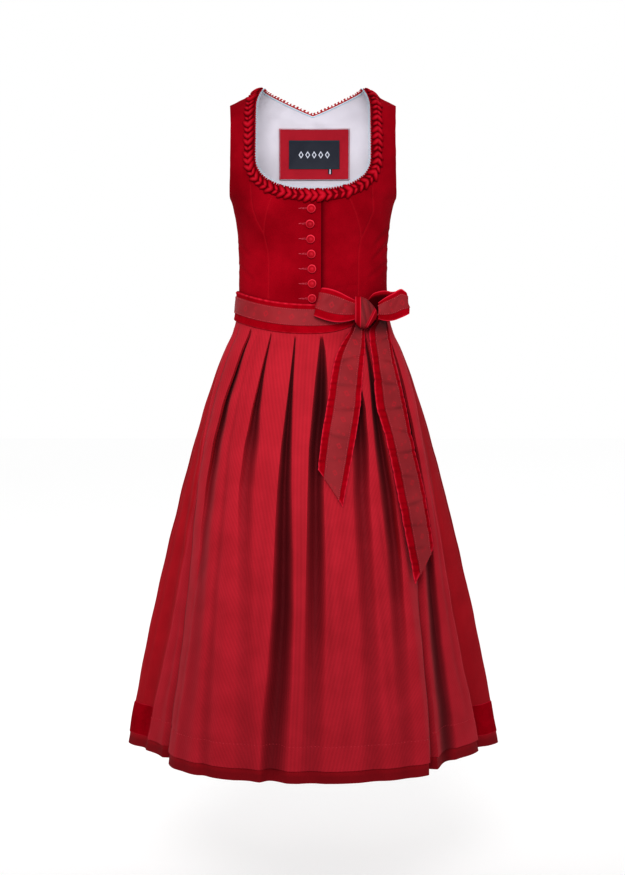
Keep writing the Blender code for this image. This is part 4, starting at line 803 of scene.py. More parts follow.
def makeSkirt():
    shares = np.concatenate((np.linspace(0, 0.03, 4), np.linspace(0.036, 0.075, 9)[:-1],
                             np.linspace(0.075, 1.0, skirt["rows"] - 12)))
    bandLow = body["hem"] + skirt["hemMargin"]
    bandTop = bandLow + skirt["bandHeight"]
    sides = (("front", frontFolds, frontCreases, skirt["frontHem"], -90.0, 90.0, body["seamFront"]),
             ("back", backFolds, backCreases, skirt["backHem"], 90.0, 270.0, body["seamSide"]))
    for name, folds, creases, hem, first, last, seam in sides:
        def sunk(share):
            under = skirt["underApron"] if name == "front" else 0.0
            return -under * (1 - smoothStep((share - 0.45) / 0.4))
        (outer, inner), shade, _ = foldedPanel(
            folds, creases, hem, shares, [rowHeight(seam, skirt["waistGap"], s) for s in shares], lambda d: first,
            lambda d: last, layers=(sunk, lambda d: sunk(d) - skirt["cloth"]))
        # painted shade: in the folds, a little more towards +X, away from the key light, and on the strip below the
        # velvet band, in its shadow
        shade = np.maximum(0.9 * shade, 0.12 * smoothStep(outer[:, :, 0] / 0.12))
        shade = np.maximum(shade, 0.42 * smoothStep((bandLow + 0.002 - outer[:, :, 2]) / 0.006))
        piece = makeShell(f"skirt_{name}_cloth", outer, inner, skirtCloth, values={"shade": shade},
                          **pleatRuns(outer, len(folds)))
        finishPiece(piece, "skirt_cloth", f"skirt_{name}")
        noteCut(piece, outer, "gathered", ["waistband_velvet_strip"])
        # velvet band round the hem, its edges paler with wear and a painted highlight, and painted shade in its folds
        heights = np.concatenate(([bandTop], np.linspace(bandTop - 0.0015, bandLow + 0.0015, 11), [bandLow]))
        bandShares = (seam - skirt["waistGap"] - heights) / (seam - skirt["waistGap"] - body["hem"])
        edge = np.array([0.0] + [1.0] * 11 + [0.0])
        (near, far), shade, _ = foldedPanel(
            folds, creases, hem, bandShares, [lambda turn, h=h: h + 0.0006 * unevenness(turn * 0.004, turn * 0, 0.05)
                                              for h in heights], lambda d: first, lambda d: last,
            layers=(skirt["bandGap"], skirt["bandGap"] + skirt["bandCloth"]))
        far = near + (far - near) * (0.45 + 0.55 * edge)[:, None, None]
        worn = np.repeat((0.55 * (1 - edge))[:, None], far.shape[1], 1)
        band = makeShell(f"hem_band_{name}_velvet", far, near, trimVelvet,
                         values={"worn": worn, "shade": 0.9 * shade}, **pleatRuns(far, len(folds)))
        finishPiece(band, "trim_velvet", f"hem_band_{name}")
        noteCut(band, far, "hung", [piece.name])


makeSkirt()
print("skirt and hem bands made")


apron = {
    "cloth": 0.0011, "gap": 0.0006, "hemDepth": 0.038, "rows": 84, "waistGap": 0.0017, "stitchInset": 0.0042,
    "edgeStitch": {"Pitch": 0.0034, "Scale": (0.0026, 0.0006, 0.0005), "Unevenness": 0.15},
    "hemStitch": {"Pitch": 0.006, "Scale": (0.0026, 0.0007, 0.0006), "Unevenness": 0.25},
    # turn of its two side edges at the folds' shares of the drop, after their turn at the waist
    "rightEdge": (-81.4, -81.4, -79, -75, -71.8, -70, -70.8, -72.4, -74.1, -75.4, -76.4),
    "leftEdge": (81.4, 81.4, 79, 75, 71.6, 70, 70.6, 72.1, 73.1, 74.3, 75.5),
}


def makeApron():
    seam = body["seamFront"]
    low = body["hem"] + skirt["hemMargin"]
    folds = frontFolds[1:-1]
    lowShare = (seam - apron["waistGap"] - low) / (seam - apron["waistGap"] - body["hem"])
    stitchLine = low + apron["hemDepth"]
    stitchShare = (seam - stitchLine) / (seam - body["hem"])
    shares = np.concatenate((np.linspace(0, 0.033, 4), np.linspace(0.036, 0.08, 12)[:-1],
                             np.linspace(0.08, stitchShare - 0.014, apron["rows"] - 22)[:-1],
                             np.linspace(stitchShare - 0.014, stitchShare + 0.014, 11)[:-1],
                             np.linspace(stitchShare + 0.014, lowShare, 6)))

    def lift(turn, height):
        # the turned-up hem is a little thicker, and puckers along its stitching
        line = stitchLine + 0.001 * unevenness(turn * 0.004, turn * 0, 0.03, 1.0)
        pucker = 0.00045 * unevenness(turn * 0.0042, height * 0.4, 0.011, 3.0) * gaussian(height - line, 0.007)
        return pucker + 0.0005 * smoothStep((line - height) / 0.002) - 0.0006 * gaussian(height - line, 0.0022)

    def clearance(share):
        return apron["gap"] + 0.0014 * smoothStep((share - 0.8) / 0.08)

    right, left = [lambda share, edge=apron[key]: np.interp(share, (0.0,) + foldShares, edge)
                   for key in ("rightEdge", "leftEdge")]
    (inner, outer), shade, lips = foldedPanel(
        folds, frontCreases, skirt["frontHem"], shares, [rowHeight(seam, apron["waistGap"], s) for s in shares],
        right, left, layers=(clearance, lambda share: clearance(share) + apron["cloth"]), lift=lift)
    # painted shade in the folds, from just below the waist
    shade = np.clip(shade * smoothStep((shares - 0.034) / 0.012)[:, None], 0, 0.9)
    # the lips of the pleats get a painted highlight near the waist, and the hem's stitched line is a little paler
    worn = 0.6 * lips * (smoothStep((shares - 0.034) / 0.01) * (1 - smoothStep((shares - 0.12) / 0.12)))[:, None]
    worn = np.clip(np.maximum(worn, gaussian(outer[:, :, 2] - stitchLine, 0.0016) * 0.35), 0, 1)
    cloth = makeShell("apron_cloth", outer, inner, apronTwill, values={"shade": shade, "worn": worn},
                      **pleatRuns(outer, len(folds)))
    finishPiece(cloth, "apron_cloth", "apron")
    # stitching along both edges and the hem
    meshes = []
    for step in (1, -1):
        path, normals = [], []
        for row in outer[np.searchsorted(shares, 0.045):]:
            near = row[::step][:14]
            normal = unit(np.cross(unit(near[3] - near[0]) * step, (0, 0, 1.0)))
            path.append(pickAlong(apron["stitchInset"], runLength(near), near) + normal * 0.0002)
            normals.append(normal)
        meshes.append(repeatAlong("edgeStitches", path, normals, plump, redThread, apron["edgeStitch"]))
    line = outer[int(np.argmin(np.abs(shares - stitchShare)))]
    normals = unit(np.cross(unit(np.gradient(line, axis=0)), (0, 0, 1.0)))
    meshes.append(repeatAlong("hemStitches", line + normals * 0.0003, normals, plump, redThread, apron["hemStitch"]))
    stitches = finishPiece(joinMeshes("apron_stitches", meshes), "apron_cloth")
    noteCut(cloth, outer, "gathered", ["waistband_velvet_strip"], [stitches])


makeApron()
print("apron made")


belt = {
    "half": 0.0255, "offset": 0.0024, "cloth": 0.0016, "columns": 300, "ribbonCloth": 0.001, "gap": 0.0004,
    "ribbonTop": 0.009, "ribbonLow": 0.0135, "knotTurn": 36.6, "pinch": 0.46, "pinchSpread": 20.0,
}


def beltPoints(turn, height):
    seam = waistSeam(turn)
    high = bodyPoints(turn, seam + belt["half"])
    low = skirtEnvelope(turn, seam - belt["half"])
    share = ((seam + belt["half"] - height) / (2 * belt["half"]))[..., None]
    return high + (low - high) * share


def beltNormals(turn):
    return unit(bodyNormals(turn, waistSeam(turn)) * (1, 1, 0))


def beltPinch(turn):
    away = np.abs((turn - belt["knotTurn"] + 180) % 360 - 180)
    return 1 - belt["pinch"] * gaussian(away, belt["pinchSpread"])


# rows run from the top edge (0) to the bottom edge (1) between two margins
def beltRows(turn, rows, topMargin, lowMargin, offset):
    net = []
    for w in rows:
        seam, pinch = waistSeam(turn), beltPinch(turn)
        high, low = seam + pinch * (belt["half"] - topMargin), seam - pinch * (belt["half"] - lowMargin)
        height = high + (low - high) * w
        net.append(beltPoints(turn, height) + beltNormals(turn) * offset(turn, w)[:, None])
    return np.array(net)


# creases that fan out from the knot
def beltCrease(turn, w):
    away = (turn - belt["knotTurn"] + 180) % 360 - 180
    near = gaussian(np.abs(away) - 13, 9.0)
    return 0.0016 * near * np.sin(9.0 * w * (1 + np.abs(away) / 40) + 0.06 * away + 1.0)


def makeBelt():
    turn = np.linspace(0, 360, belt["columns"], endpoint=False)
    rows = np.concatenate(([0, 0.012, 0.03, 0.05, 0.075, 0.1, 0.13, 0.17], np.linspace(0.22, 0.78, 12),
                           [0.82, 0.86, 0.9, 0.93, 0.955, 0.975, 0.99, 1.0]))
    ribbonRows = np.concatenate(([0, 0.02, 0.035, 0.055, 0.075], np.linspace(0.1, 0.9, 11),
                                 [0.925, 0.945, 0.965, 0.98, 1.0]))
    margins = (belt["ribbonTop"], belt["ribbonLow"])
    base = belt["offset"] + belt["cloth"]

    def surface(turn, w):
        roll = 0.0011 * gaussian(w - 0.055, 0.045) * (1 + 0.8 * unevenness(turn * 0.0022, 0 * turn, 0.013, 1.0))
        roll = roll + 0.0009 * gaussian(w - 0.93, 0.06)
        edge = 0.0015 * (gaussian(w, 0.016) + gaussian(w - 1, 0.016))
        wave = 0.0003 * unevenness(turn * 0.0022, w * 0.05, 0.045, 4.0)
        return base + roll - edge + wave + beltCrease(turn, w) * (1 - 0.6 * gaussian(w - 0.5, 0.25))

    def face(turn, w):
        edge = 0.0005 * (gaussian(w, 0.02) + gaussian(w - 1, 0.02))
        pucker = 0.00025 * unevenness(turn * 0.0022, w * 0.03, 0.012, 5.0)
        pucker = pucker * (gaussian(w - 0.05, 0.06) + gaussian(w - 0.95, 0.06))
        wave = 0.0003 * unevenness(turn * 0.0022, w * 0.05, 0.045, 4.0)
        return base + belt["gap"] + belt["ribbonCloth"] - edge + pucker + wave + beltCrease(turn, 0.2 + 0.55 * w)

    outer = beltRows(turn, rows, 0.0, 0.0, surface)
    inner = beltRows(turn, rows, 0.0, 0.0, lambda t, w: belt["offset"] + 0 * t)
    # the velvet's rolled edges: paler with wear and a painted highlight
    worn = (0.75 * gaussian(rows - 0.035, 0.022) + 0.35 * gaussian(rows - 0.975, 0.015))[:, None]
    worn = worn * (0.7 + 0.5 * unevenness(turn * 0.0022, 0 * turn, 0.012, 2.0))
    strip = makeShell("waistband_velvet_strip", outer, inner, trimVelvet, closed=True,
                      values={"worn": np.clip(worn, 0, 1)})
    finishPiece(strip, "trim_velvet", "waistband_velvet")
    noteCut(strip, outer, "stretched", ["bodice_front_right_velvet", "bodice_front_left_velvet"], closed=True)
    outer = beltRows(turn, ribbonRows, *margins, face)
    inner = beltRows(turn, ribbonRows, *margins, lambda t, w: face(t, w) - belt["ribbonCloth"])
    # painted shade along the two stitched lines
    channel = np.repeat(0.38 * gaussian(np.abs(ribbonRows - 0.5) - 0.445, 0.016)[:, None], len(turn), 1)
    ribbon = makeShell("waistband_ribbon_face", outer, inner, ribbonTaffeta, closed=True, values={"shade": channel})
    finishPiece(ribbon, "ribbon", "waistband_ribbon")
    paths = beltRows(turn, (0.055, 0.945), *margins, lambda t, w: face(t, w) + 0.0001)
    meshes = [repeatAlong("beltStitches", path, beltNormals(turn), plump, redThread, ribbonStitch) for path in paths]
    stitches = finishPiece(joinMeshes("belt_stitches", meshes), "ribbon")
    noteCut(ribbon, outer, "stretched", [strip.name], [stitches], closed=True)


makeBelt()
print("belt made")


bodice = {
    "cloth": 0.0014, "lining": 0.001, "layerGap": 0.0004, "net": 0.0042, "metresPerDegree": 0.0023,
    "backNet": 0.0052, "sideX": 0.1412, "placketX": 0.0135, "underlapX": -0.018, "underlapGap": 0.001,
    "riseStart": 0.006, "rise": 0.018,
    # darts and seams as lines of x and z on the front: a pressed line that shows a little paler
    "rightDarts": (
        ((-0.1045, -0.163), (-0.104, -0.186), (-0.1015, -0.205), (-0.0955, -0.222), (-0.083, -0.2445)),
        ((-0.064, -0.177), (-0.072, -0.193), (-0.0778, -0.21), (-0.0812, -0.226), (-0.083, -0.2445)),
        ((-0.083, -0.2445), (-0.0765, -0.274), (-0.0745, -0.294), (-0.0748, -0.322), (-0.0755, -0.352))),
    "leftDarts": (
        ((0.057, -0.179), (0.0642, -0.194), (0.0722, -0.213), (0.079, -0.238), (0.0806, -0.252)),
        ((0.1, -0.168), (0.101, -0.209), (0.095, -0.225), (0.0875, -0.241), (0.0812, -0.253)),
        ((0.0808, -0.252), (0.0785, -0.27), (0.0768, -0.285), (0.0766, -0.35))),
    "dartGroove": 0.0006, "dartHalf": 0.0012, "backSeam": ((0.095, -0.09), (0.07, -0.22), (0.06, -0.36)),
    # soft creases at both sides of the front: start, end, half width, depth
    "creases": (
        ((0.108, -0.262), (0.127, -0.24), 0.0035, 0.0014), ((0.103, -0.288), (0.127, -0.262), 0.003, 0.0012),
        ((0.098, -0.318), (0.125, -0.296), 0.0035, 0.0012), ((-0.127, -0.3), (-0.104, -0.322), 0.0035, 0.001),
        ((-0.126, -0.262), (-0.11, -0.28), 0.003, 0.0008), ((0.03, -0.34), (0.075, -0.332), 0.003, 0.0006)),
    # soft folds of the lining below the neck: line, half width, rise
    "liningFolds": ((((0.0, -0.04), (0.03, -0.052)), 0.0035, 0.0008),
                    (((-0.075, -0.03), (-0.02, -0.046)), 0.004, 0.0006),
                    (((0.022, -0.046), (0.08, -0.026)), 0.004, 0.0006)),
}


def toPattern(turn, height):
    return np.stack((np.asarray(turn) * bodice["metresPerDegree"], np.asarray(height) + 0 * np.asarray(turn)), -1)


def halfNeckline(inset):
    width, drop = body["neckHalf"] + inset, body["cornerDrop"] + inset
    angle = np.linspace(0, math.pi / 2, 90)
    x = width * np.sin(angle) ** (2 / body["cornerPower"])
    z = body["cornerHeight"] - drop * np.maximum(np.cos(angle), 0) ** (2 / body["cornerPower"])
    curve = np.stack((x, heightAt(x, z)), -1)
    heights = np.linspace(curve[-1, 1], top, 60)[1:]
    inward = smoothStep((leanAt(heights) - 1.0) / (math.pi / 2 - 1.0))
    straight = np.stack((width - (body["neckHalf"] - body["neckX"]) * inward, heights), -1)
    return np.concatenate((curve, straight))


# even places along a run of x and height
def evenPlaces(run, step, back=False):
    length = runLength(bodyPoints(turnAt(run[:, 0], run[:, 1], back), run[:, 1]))
    return pickAlong(np.linspace(0, length[-1], max(2, round(length[-1] / step) + 1)), length, run)


def alongBody(run, step, back=False):
    x, height = evenPlaces(run, step, back).T
    turn = turnAt(x, height, back)
    return bodyPoints(turn, height), bodyNormals(turn, height)


def armholeRun(back):
    heights = np.concatenate((np.linspace(top, -0.16, 50), np.linspace(-0.165, -0.186, 8)))
    share = np.clip((heights - underarm) / body["shoulderArc"], 0, 1)
    x = body["tipX"] - (0.0035 if back else 0.003) * np.sin(math.pi * share ** 0.8)
    return np.concatenate((np.stack((x, heights), -1), [(float(bodyHalfWidth(underarm)), underarm)]))


# pattern points of a run of x and height, and of the shoulder line
def patternRun(run, back=False):
    return toPattern(turnAt(run[:, 0], run[:, 1], back), run[:, 1])


def shoulderRun(count, side=1, back=False):
    x = np.linspace(body["tipX"], body["neckX"], count)[1:-1] * side
    return toPattern(turnAt(x, top + 0 * x, back), top + 0 * x)


def frontOutline(side, edgeX):
    neck = halfNeckline(0.0)
    across = np.concatenate((neck[::-1] * (-1, 1), neck[1:]))
    if side > 0:
        across = across[::-1]
    keep = across[:, 0] < edgeX if side < 0 else across[:, 0] > edgeX
    share = (abs(edgeX) / body["neckHalf"]) ** body["cornerPower"]
    drop = body["cornerDrop"] * (1 - share) ** (1 / body["cornerPower"])
    end = (edgeX, float(heightAt(edgeX, body["cornerHeight"] - drop)))
    run = evenPlaces(np.concatenate((across[keep], [end])), bodice["net"])
    edgeTurn = turnAt(edgeX, run[-1, 1])
    lowTurn = float(turnAt(edgeX, waistSeam(edgeTurn)))
    heights = np.linspace(run[-1, 1], float(waistSeam(lowTurn)), 50)[1:]
    placket = toPattern(turnAt(edgeX + 0 * heights, heights), heights)
    bottom = np.linspace(lowTurn, 90.0 * side, 46)[1:]
    seam = toPattern(bottom, waistSeam(bottom))
    sideHeights = np.linspace(body["seamSide"], underarm, 44)[1:]
    sideSeam = toPattern(90.0 * side + 0 * sideHeights, sideHeights)
    hole = patternRun(armholeRun(False)[::-1][1:] * (side, 1))
    return np.concatenate((patternRun(run), placket, seam, sideSeam, hole, shoulderRun(14, side)))


def backOutline():
    sideHeights = np.linspace(body["seamSide"], underarm, 44)[:-1]
    half = np.concatenate((toPattern(90.0 + 0 * sideHeights, sideHeights),
                           [(90.0 * bodice["metresPerDegree"], underarm)],
                           patternRun(armholeRun(True)[::-1][1:], True), shoulderRun(12, 1, True),
                           patternRun(backNeckRun(), True)))
    middle = 180 * bodice["metresPerDegree"]
    mirrored = half[::-1][1:] * (-1, 1) + (2 * middle, 0)
    bottom = np.linspace(270, 90, 110)[1:-1]
    return np.concatenate((half, mirrored, toPattern(bottom, waistSeam(bottom))))


# from the wearer's left neck point down to the middle of the shallow V
def backNeckRun():
    x = np.linspace(body["neckX"], 0.0, 26)
    share = x / body["neckX"]
    z = -body["backDrop"] + (shoulderHeight(body["neckX"]) + body["backDrop"]) * share ** 1.05
    return np.stack((x, heightAt(x, z)), -1)


# an even net of pattern points inside an outline and a little off it and off the given lines
def insideNet(outline, spacing, keepOff):
    low, high = outline.min(0), outline.max(0)
    rows = []
    for i, y in enumerate(np.arange(low[1], high[1], spacing * math.sqrt(3) / 2)):
        xs = np.arange(low[0] + (0.5 * spacing if i % 2 else 0), high[0], spacing)
        rows.append(np.stack((xs, np.full(len(xs), y)), -1))
    points = np.concatenate(rows)
    inside = np.zeros(len(points), bool)
    nearest = np.full(len(points), 9.0)
    for p, q in zip(outline, np.roll(outline, -1, axis=0)):
        edge = q - p
        if edge[1]:
            hit = (p[1] > points[:, 1]) != (q[1] > points[:, 1])
            inside ^= hit & (points[:, 0] < p[0] + (points[:, 1] - p[1]) * edge[0] / edge[1])
        along = np.clip(((points - p) @ edge) / max(edge @ edge, 1e-12), 0, 1)
        nearest = np.minimum(nearest, np.linalg.norm(points - p - along[:, None] * edge, axis=1))
    points = points[inside & (nearest > 0.55 * spacing)]
    for i in range(0, len(keepOff), 200):
        gap = np.linalg.norm(points[:, None] - keepOff[None, i:i + 200], axis=2).min(axis=1)
        points = points[gap > 0.5 * spacing]
    return points


# a panel cut to an outline: place gives outer and inner points for turns and heights
def cutPanel(name, outline, spacing, place, materials, lines=(), innerKind=None):
    lines = np.concatenate(lines) if len(lines) else np.zeros((0, 2))
    points = np.concatenate((outline, lines, insideNet(outline, spacing, lines)))
    edges = [(i, (i + 1) % len(outline)) for i in range(len(outline))]
    net = delaunay_2d_cdt([Vector(p) for p in points], edges, [], 1, 1e-7)
    flat = np.array([tuple(p) for p in net[0]])
    triangles = np.array([tuple(t) for t in net[2]])
    count = len(flat)
    turn, height = flat[:, 0] / bodice["metresPerDegree"], flat[:, 1]
    outer, inner, values = place(turn, height)
    # an edge that only one triangle has lies on the rim
    directed = np.concatenate((triangles[:, [0, 1]], triangles[:, [1, 2]], triangles[:, [2, 0]]))
    _, first, counts = np.unique(np.sort(directed, axis=1), axis=0, return_index=True, return_counts=True)
    rim = directed[first[counts == 1]]
    faces = [tuple(t) for t in triangles] + [tuple(t[::-1] + count) for t in triangles]
    faces += [(b, a, a + count, b + count) for a, b in rim]
    uvs = [tuple(flat[i % count]) for face in faces for i in face]
    kinds = np.zeros(len(faces), int)
    if innerKind is not None:
        kinds[len(triangles):2 * len(triangles)] = innerKind
    both = {key: np.concatenate((column, column)) for key, column in values.items()}
    return makePiece(name, np.concatenate((outer, inner)), faces, materials, uvs, both, kinds)


def lineDistance(x, z, line):
    best = np.full(x.shape, 9.0)
    for (x0, z0), (x1, z1) in zip(line, line[1:]):
        dx, dz = x1 - x0, z1 - z0
        along = np.clip(((x - x0) * dx + (z - z0) * dz) / (dx * dx + dz * dz), 0, 1)
        best = np.minimum(best, np.hypot(x - x0 - along * dx, z - z0 - along * dz))
    return best


# rows of pattern points beside each dart, so that the net can hold its narrow line
def dartRows(darts):
    rows = []
    for line in darts:
        line = np.array(line)
        length = runLength(line)
        path = pickAlong(np.linspace(0, length[-1], max(3, int(length[-1] / 0.0025))), length, line)
        way = unit(np.gradient(path, axis=0))
        side = np.stack((-way[:, 1], way[:, 0]), -1)
        for offset in (-0.0026, -bodice["dartHalf"], 0.0, bodice["dartHalf"], 0.0026):
            xz = path[1:-1] + side[1:-1] * offset
            rows.append(patternRun(np.stack((xz[:, 0], heightAt(xz[:, 0], xz[:, 1])), -1)))
    return rows


# front and back come down to the same groove along the side seam
def toSideSeam(raised, turn):
    gap = (90 - turn) * bodice["metresPerDegree"]
    return raised * smoothStep(gap / 0.01) - 0.0005 * gaussian(gap, 0.0016)


def frontDetail(turn, height, darts):
    solid = bodyPoints(turn, height)
    x, z = solid[:, 0], solid[:, 2]
    raised, worn = np.zeros(len(x)), np.zeros(len(x))
    for line in darts:
        distance = lineDistance(x, z, line)
        raised += -bodice["dartGroove"] * gaussian(distance, bodice["dartHalf"] * 0.8)
        raised += 0.45 * bodice["dartGroove"] * gaussian(distance - 0.0024, 0.001)
        worn = np.maximum(worn, 0.2 * gaussian(distance, bodice["dartHalf"] * 0.7))
    for start, end, width, depth in bodice["creases"]:
        distance = lineDistance(x, z, (start, end))
        raised += -depth * gaussian(distance, width) + 0.6 * depth * gaussian(distance - 2 * width, width)
    raised += 0.0004 * unevenness(x, z, 0.055, 1.0) + 0.0002 * unevenness(x, z, 0.021, 3.0)
    return solid, toSideSeam(raised, np.abs(turn)), worn


# a panel's cut: its width at the underarm, its length from waist to shoulder and the area of one face
def notePanel(piece, ends, back):
    xs = np.linspace(ends[0], ends[1], 120)
    across = runLength(bodyPoints(turnAt(xs, underarm + 0 * xs, back), underarm))[-1]
    heights = np.linspace(body["seamSide"], top, 120)
    down = runLength(bodyPoints(turnAt(0.115 + 0 * heights, heights, back), heights))[-1]
    area = sum(face.area for face in piece.data.polygons) / 2
    cuts.append((piece, float(across), float(down), float(area), "stretched", ["waistband_velvet_strip"], []))


def makeBodice():
    for name, side, edgeX, darts in (("right", -1, bodice["placketX"], bodice["rightDarts"]),
                                     ("left", 1, bodice["underlapX"], bodice["leftDarts"])):
        def place(turn, height):
            solid, raised, worn = frontDetail(turn, height, darts)
            normal = bodyNormals(turn, height)
            shade = np.zeros(len(turn))
            if side > 0:
                past = (solid[:, 0] - bodice["placketX"] - bodice["riseStart"]) / bodice["rise"]
                sunk = (bodice["cloth"] + bodice["underlapGap"]) * (1 - smoothStep(past))
                raised = raised * smoothStep(past) - sunk
                # painted shadow of the overlapping right front along its edge
                shade = 0.65 * gaussian(np.maximum(solid[:, 0] - bodice["placketX"], 0), 0.006)
            else:
                edge = bodice["placketX"] - solid[:, 0]
                ripple = 0.0003 * unevenness(solid[:, 2], 0 * edge, 0.02) * gaussian(edge, 0.006)
                raised = raised - 0.0008 * gaussian(edge, 0.0012) + ripple
            outer = solid + normal * raised[:, None]
            return outer, outer - normal * bodice["cloth"], {"worn": worn, "shade": shade}
        piece = cutPanel(f"bodice_front_{name}_velvet", frontOutline(side, edgeX), bodice["net"], place,
                         [bodiceVelvet, liningCotton], dartRows(darts), innerKind=1)
        finishPiece(piece, "bodice_velvet", f"bodice_front_{name}")
        notePanel(piece, sorted((edgeX, side * bodice["sideX"])), False)

    def back(turn, height):
        solid, normal = bodyPoints(turn, height), bodyNormals(turn, height)
        raised = 0.0006 * unevenness(solid[:, 0], solid[:, 2], 0.06, 5.0)
        seam = gaussian(lineDistance(np.abs(solid[:, 0]), solid[:, 2], bodice["backSeam"]), 0.0018)
        middle = gaussian(solid[:, 0], 0.0016)
        raised = np.minimum(raised, 0.0) - 0.0006 * np.maximum(seam, middle)
        outer = solid + normal * toSideSeam(raised, np.abs(180 - turn))[:, None]
        return outer, solid - normal * bodice["cloth"], {"worn": 0.2 * np.maximum(seam, middle), "shade": 0 * turn}

    piece = cutPanel("bodice_back_velvet", backOutline(), bodice["backNet"], back, [bodiceVelvet])
    finishPiece(piece, "bodice_velvet", "bodice_back")
    notePanel(piece, (-bodice["sideX"], bodice["sideX"]), True)

    def liningPlace(turn, height):
        solid, normal = bodyPoints(turn, height), bodyNormals(turn, height)
        x, z = solid[:, 0], solid[:, 2]
        fold = 0.0
        for line, width, rise in bodice["liningFolds"]:
            fold = fold + rise * gaussian(lineDistance(x, z, line), width)
        fold = fold + 0.0005 * unevenness(x, z, 0.05, 2.0)
        out = -bodice["cloth"] - bodice["layerGap"] - np.clip(fold, -0.0002, 0.002)
        outer = solid + normal * out[:, None]
        # painted shade, deeper down inside the bodice
        low = 0.17 * smoothStep((-0.08 - z) / 0.055)
        return outer, outer - normal * bodice["lining"], {"shade": low, "worn": 0 * turn}

    piece = cutPanel("back_lining_cotton", backOutline(), bodice["backNet"], liningPlace, [liningCotton])
    finishPiece(piece, "lining", "back_lining")
    notePanel(piece, (-bodice["sideX"], bodice["sideX"]), True)


makeBodice()
print("bodice made")


# plaited trimming, picots and neck edge
braid = {"width": 0.018, "step": 0.003, "pitch": 0.0108, "lobe": (0.0164, 0.008, 0.0062), "rise": 0.0026,
         "turn": 46.0, "base": 0.0007, "baseShade": 0.55, "endGap": 0.003, "picotPitch": 0.0046,
         "pearl": (0.0036, 0.0036, 0.0024),
         "bead": (0.0019, 0.0015, 0.0014), "cord": (0.0052, 0.003, 0.0022), "hookPitch": 0.0072,
         "hook": (0.0058, 0.0026, 0.0022), "barb": (0.004, 0.0022, 0.002)}


def neckPath(inset, step, low=-1.0, high=1.0):
    run = halfNeckline(inset)
    across = np.concatenate((run[::-1] * (-1, 1), run[1:]))
    across = across[across[:, 1] < top - braid["endGap"]]
    across = across[(across[:, 0] > low) & (across[:, 0] < high)]
    return alongBody(across, step)


def makeBraid():
    half = braid["width"] / 2
    for name, low, high in (("right", -1.0, bodice["placketX"] - 0.0003),
                            ("left", bodice["placketX"] + 0.0003, 1.0)):
        path, normals = neckPath(half, braid["step"], low, high)
        along = unit(np.gradient(path, axis=0))
        side = unit(np.cross(normals, along))
        outer, inner = [], []
        for offset in np.linspace(-half, half, 7):
            crown = 0.0014 * (1 - (offset / half) ** 2)
            outer.append(path + side * offset + normals * (braid["base"] + 0.0006 + crown))
            inner.append(path + side * offset + normals * braid["base"])
        # the base between the arms gets an even painted shade; the arms bring their own painted highlights and shade
        base = makeShell(f"neck_braid_{name}_base", np.array(outer), np.array(inner), trimVelvet,
                         values={"shade": np.full((7, len(path)), braid["baseShade"])})
        meshes = [base.data.copy()]
        for way in (1, -1):
            meshes.append(repeatAlong("braidArms", path, normals, lobe, trimVelvet, {
                "Pitch": braid["pitch"], "Scale": braid["lobe"], "Side offset": way * braid["width"] * 0.235,
                "Rise": braid["rise"], "Turn": math.radians(180 - way * braid["turn"]), "Unevenness": 0.3}))
        bpy.data.objects.remove(base)
        finishPiece(joinMeshes(f"neck_braid_{name}_plait", meshes), "trim_velvet", f"neck_braid_{name}")
    # small picots inside the plait, along the whole neckline: red pearls, then a net of pale beads in two rows
    path, normals = neckPath(-0.0006, braid["picotPitch"] / 2)
    meshes = []
    for name, thread, shift, scale, offset, rise in (("picots", trimVelvet, 0, braid["pearl"], 0.0002, 0.0006),
                                                     ("paleInner", paleThread, 1, braid["bead"], 0.0022, -0.0002),
                                                     ("paleOuter", paleThread, 0, braid["bead"], 0.0044, -0.0006)):
        meshes.append(repeatAlong(name, path[shift:], normals[shift:], plump, thread, {
            "Pitch": braid["picotPitch"], "Scale": scale, "Side offset": offset, "Rise": rise, "Unevenness": 0.1}))
    # along the back of the neck: a thin cord with little hooks of thread on it, and a pale line inside
    half = backNeckRun()
    path, normals = alongBody(np.concatenate((half, half[::-1][1:] * (-1, 1))), braid["step"], True)
    for name, thread, pitch, scale, offset, rise, angle in (
            ("neckCord", neckThread, 0.0036, braid["cord"], 0.0004, -0.0012, 0.0),
            ("neckHooks", neckThread, braid["hookPitch"], braid["hook"], 0.002, -0.0012, 54.0),
            ("neckBarbs", neckThread, braid["hookPitch"], braid["barb"], 0.0036, -0.0012, -38.0),
            ("neckInside", paleThread, 0.003, (0.0042, 0.0016, 0.0012), -0.0018, -0.0032, 0.0)):
        meshes.append(repeatAlong(name, path, normals, plump, thread, {
            "Pitch": pitch, "Scale": scale, "Side offset": offset, "Rise": rise, "Turn": math.radians(angle),
            "Unevenness": 0.25}))
    finishPiece(joinMeshes("neck_picots", meshes), "trim_velvet")


makeBraid()
print("neck trimming made")


buttons = {"x": -0.003, "top": -0.2046, "spacing": 0.025, "seat": 0.0008, "sides": 32,
           "offsets": (0.0, -0.0022, -0.0012, 0.0, 0.001, 0.0013, 0.0013),
           "profile": ((0.0058, 0.0), (0.007, 0.0008), (0.00735, 0.002), (0.0071, 0.0032), (0.0063, 0.0039),
                       (0.0052, 0.0038), (0.0038, 0.004), (0.002, 0.0043), (0.0008, 0.0044)),
           # wear and painted highlight of each ring of the profile
           "paleWearAndHighlight": (0.0, 0.3, 0.85, 0.85, 0.5, 0.0, 0.04, 0.22, 0.25),
           "holeStitch": {"Pitch": 0.0016, "Scale": (0.0021, 0.001, 0.0009), "Rise": 0.0005, "Unevenness": 0.2}}


def buttonPlaces():
    return [(number, buttons["x"] + offset, buttons["top"] - number * buttons["spacing"])
            for number, offset in enumerate(buttons["offsets"])]


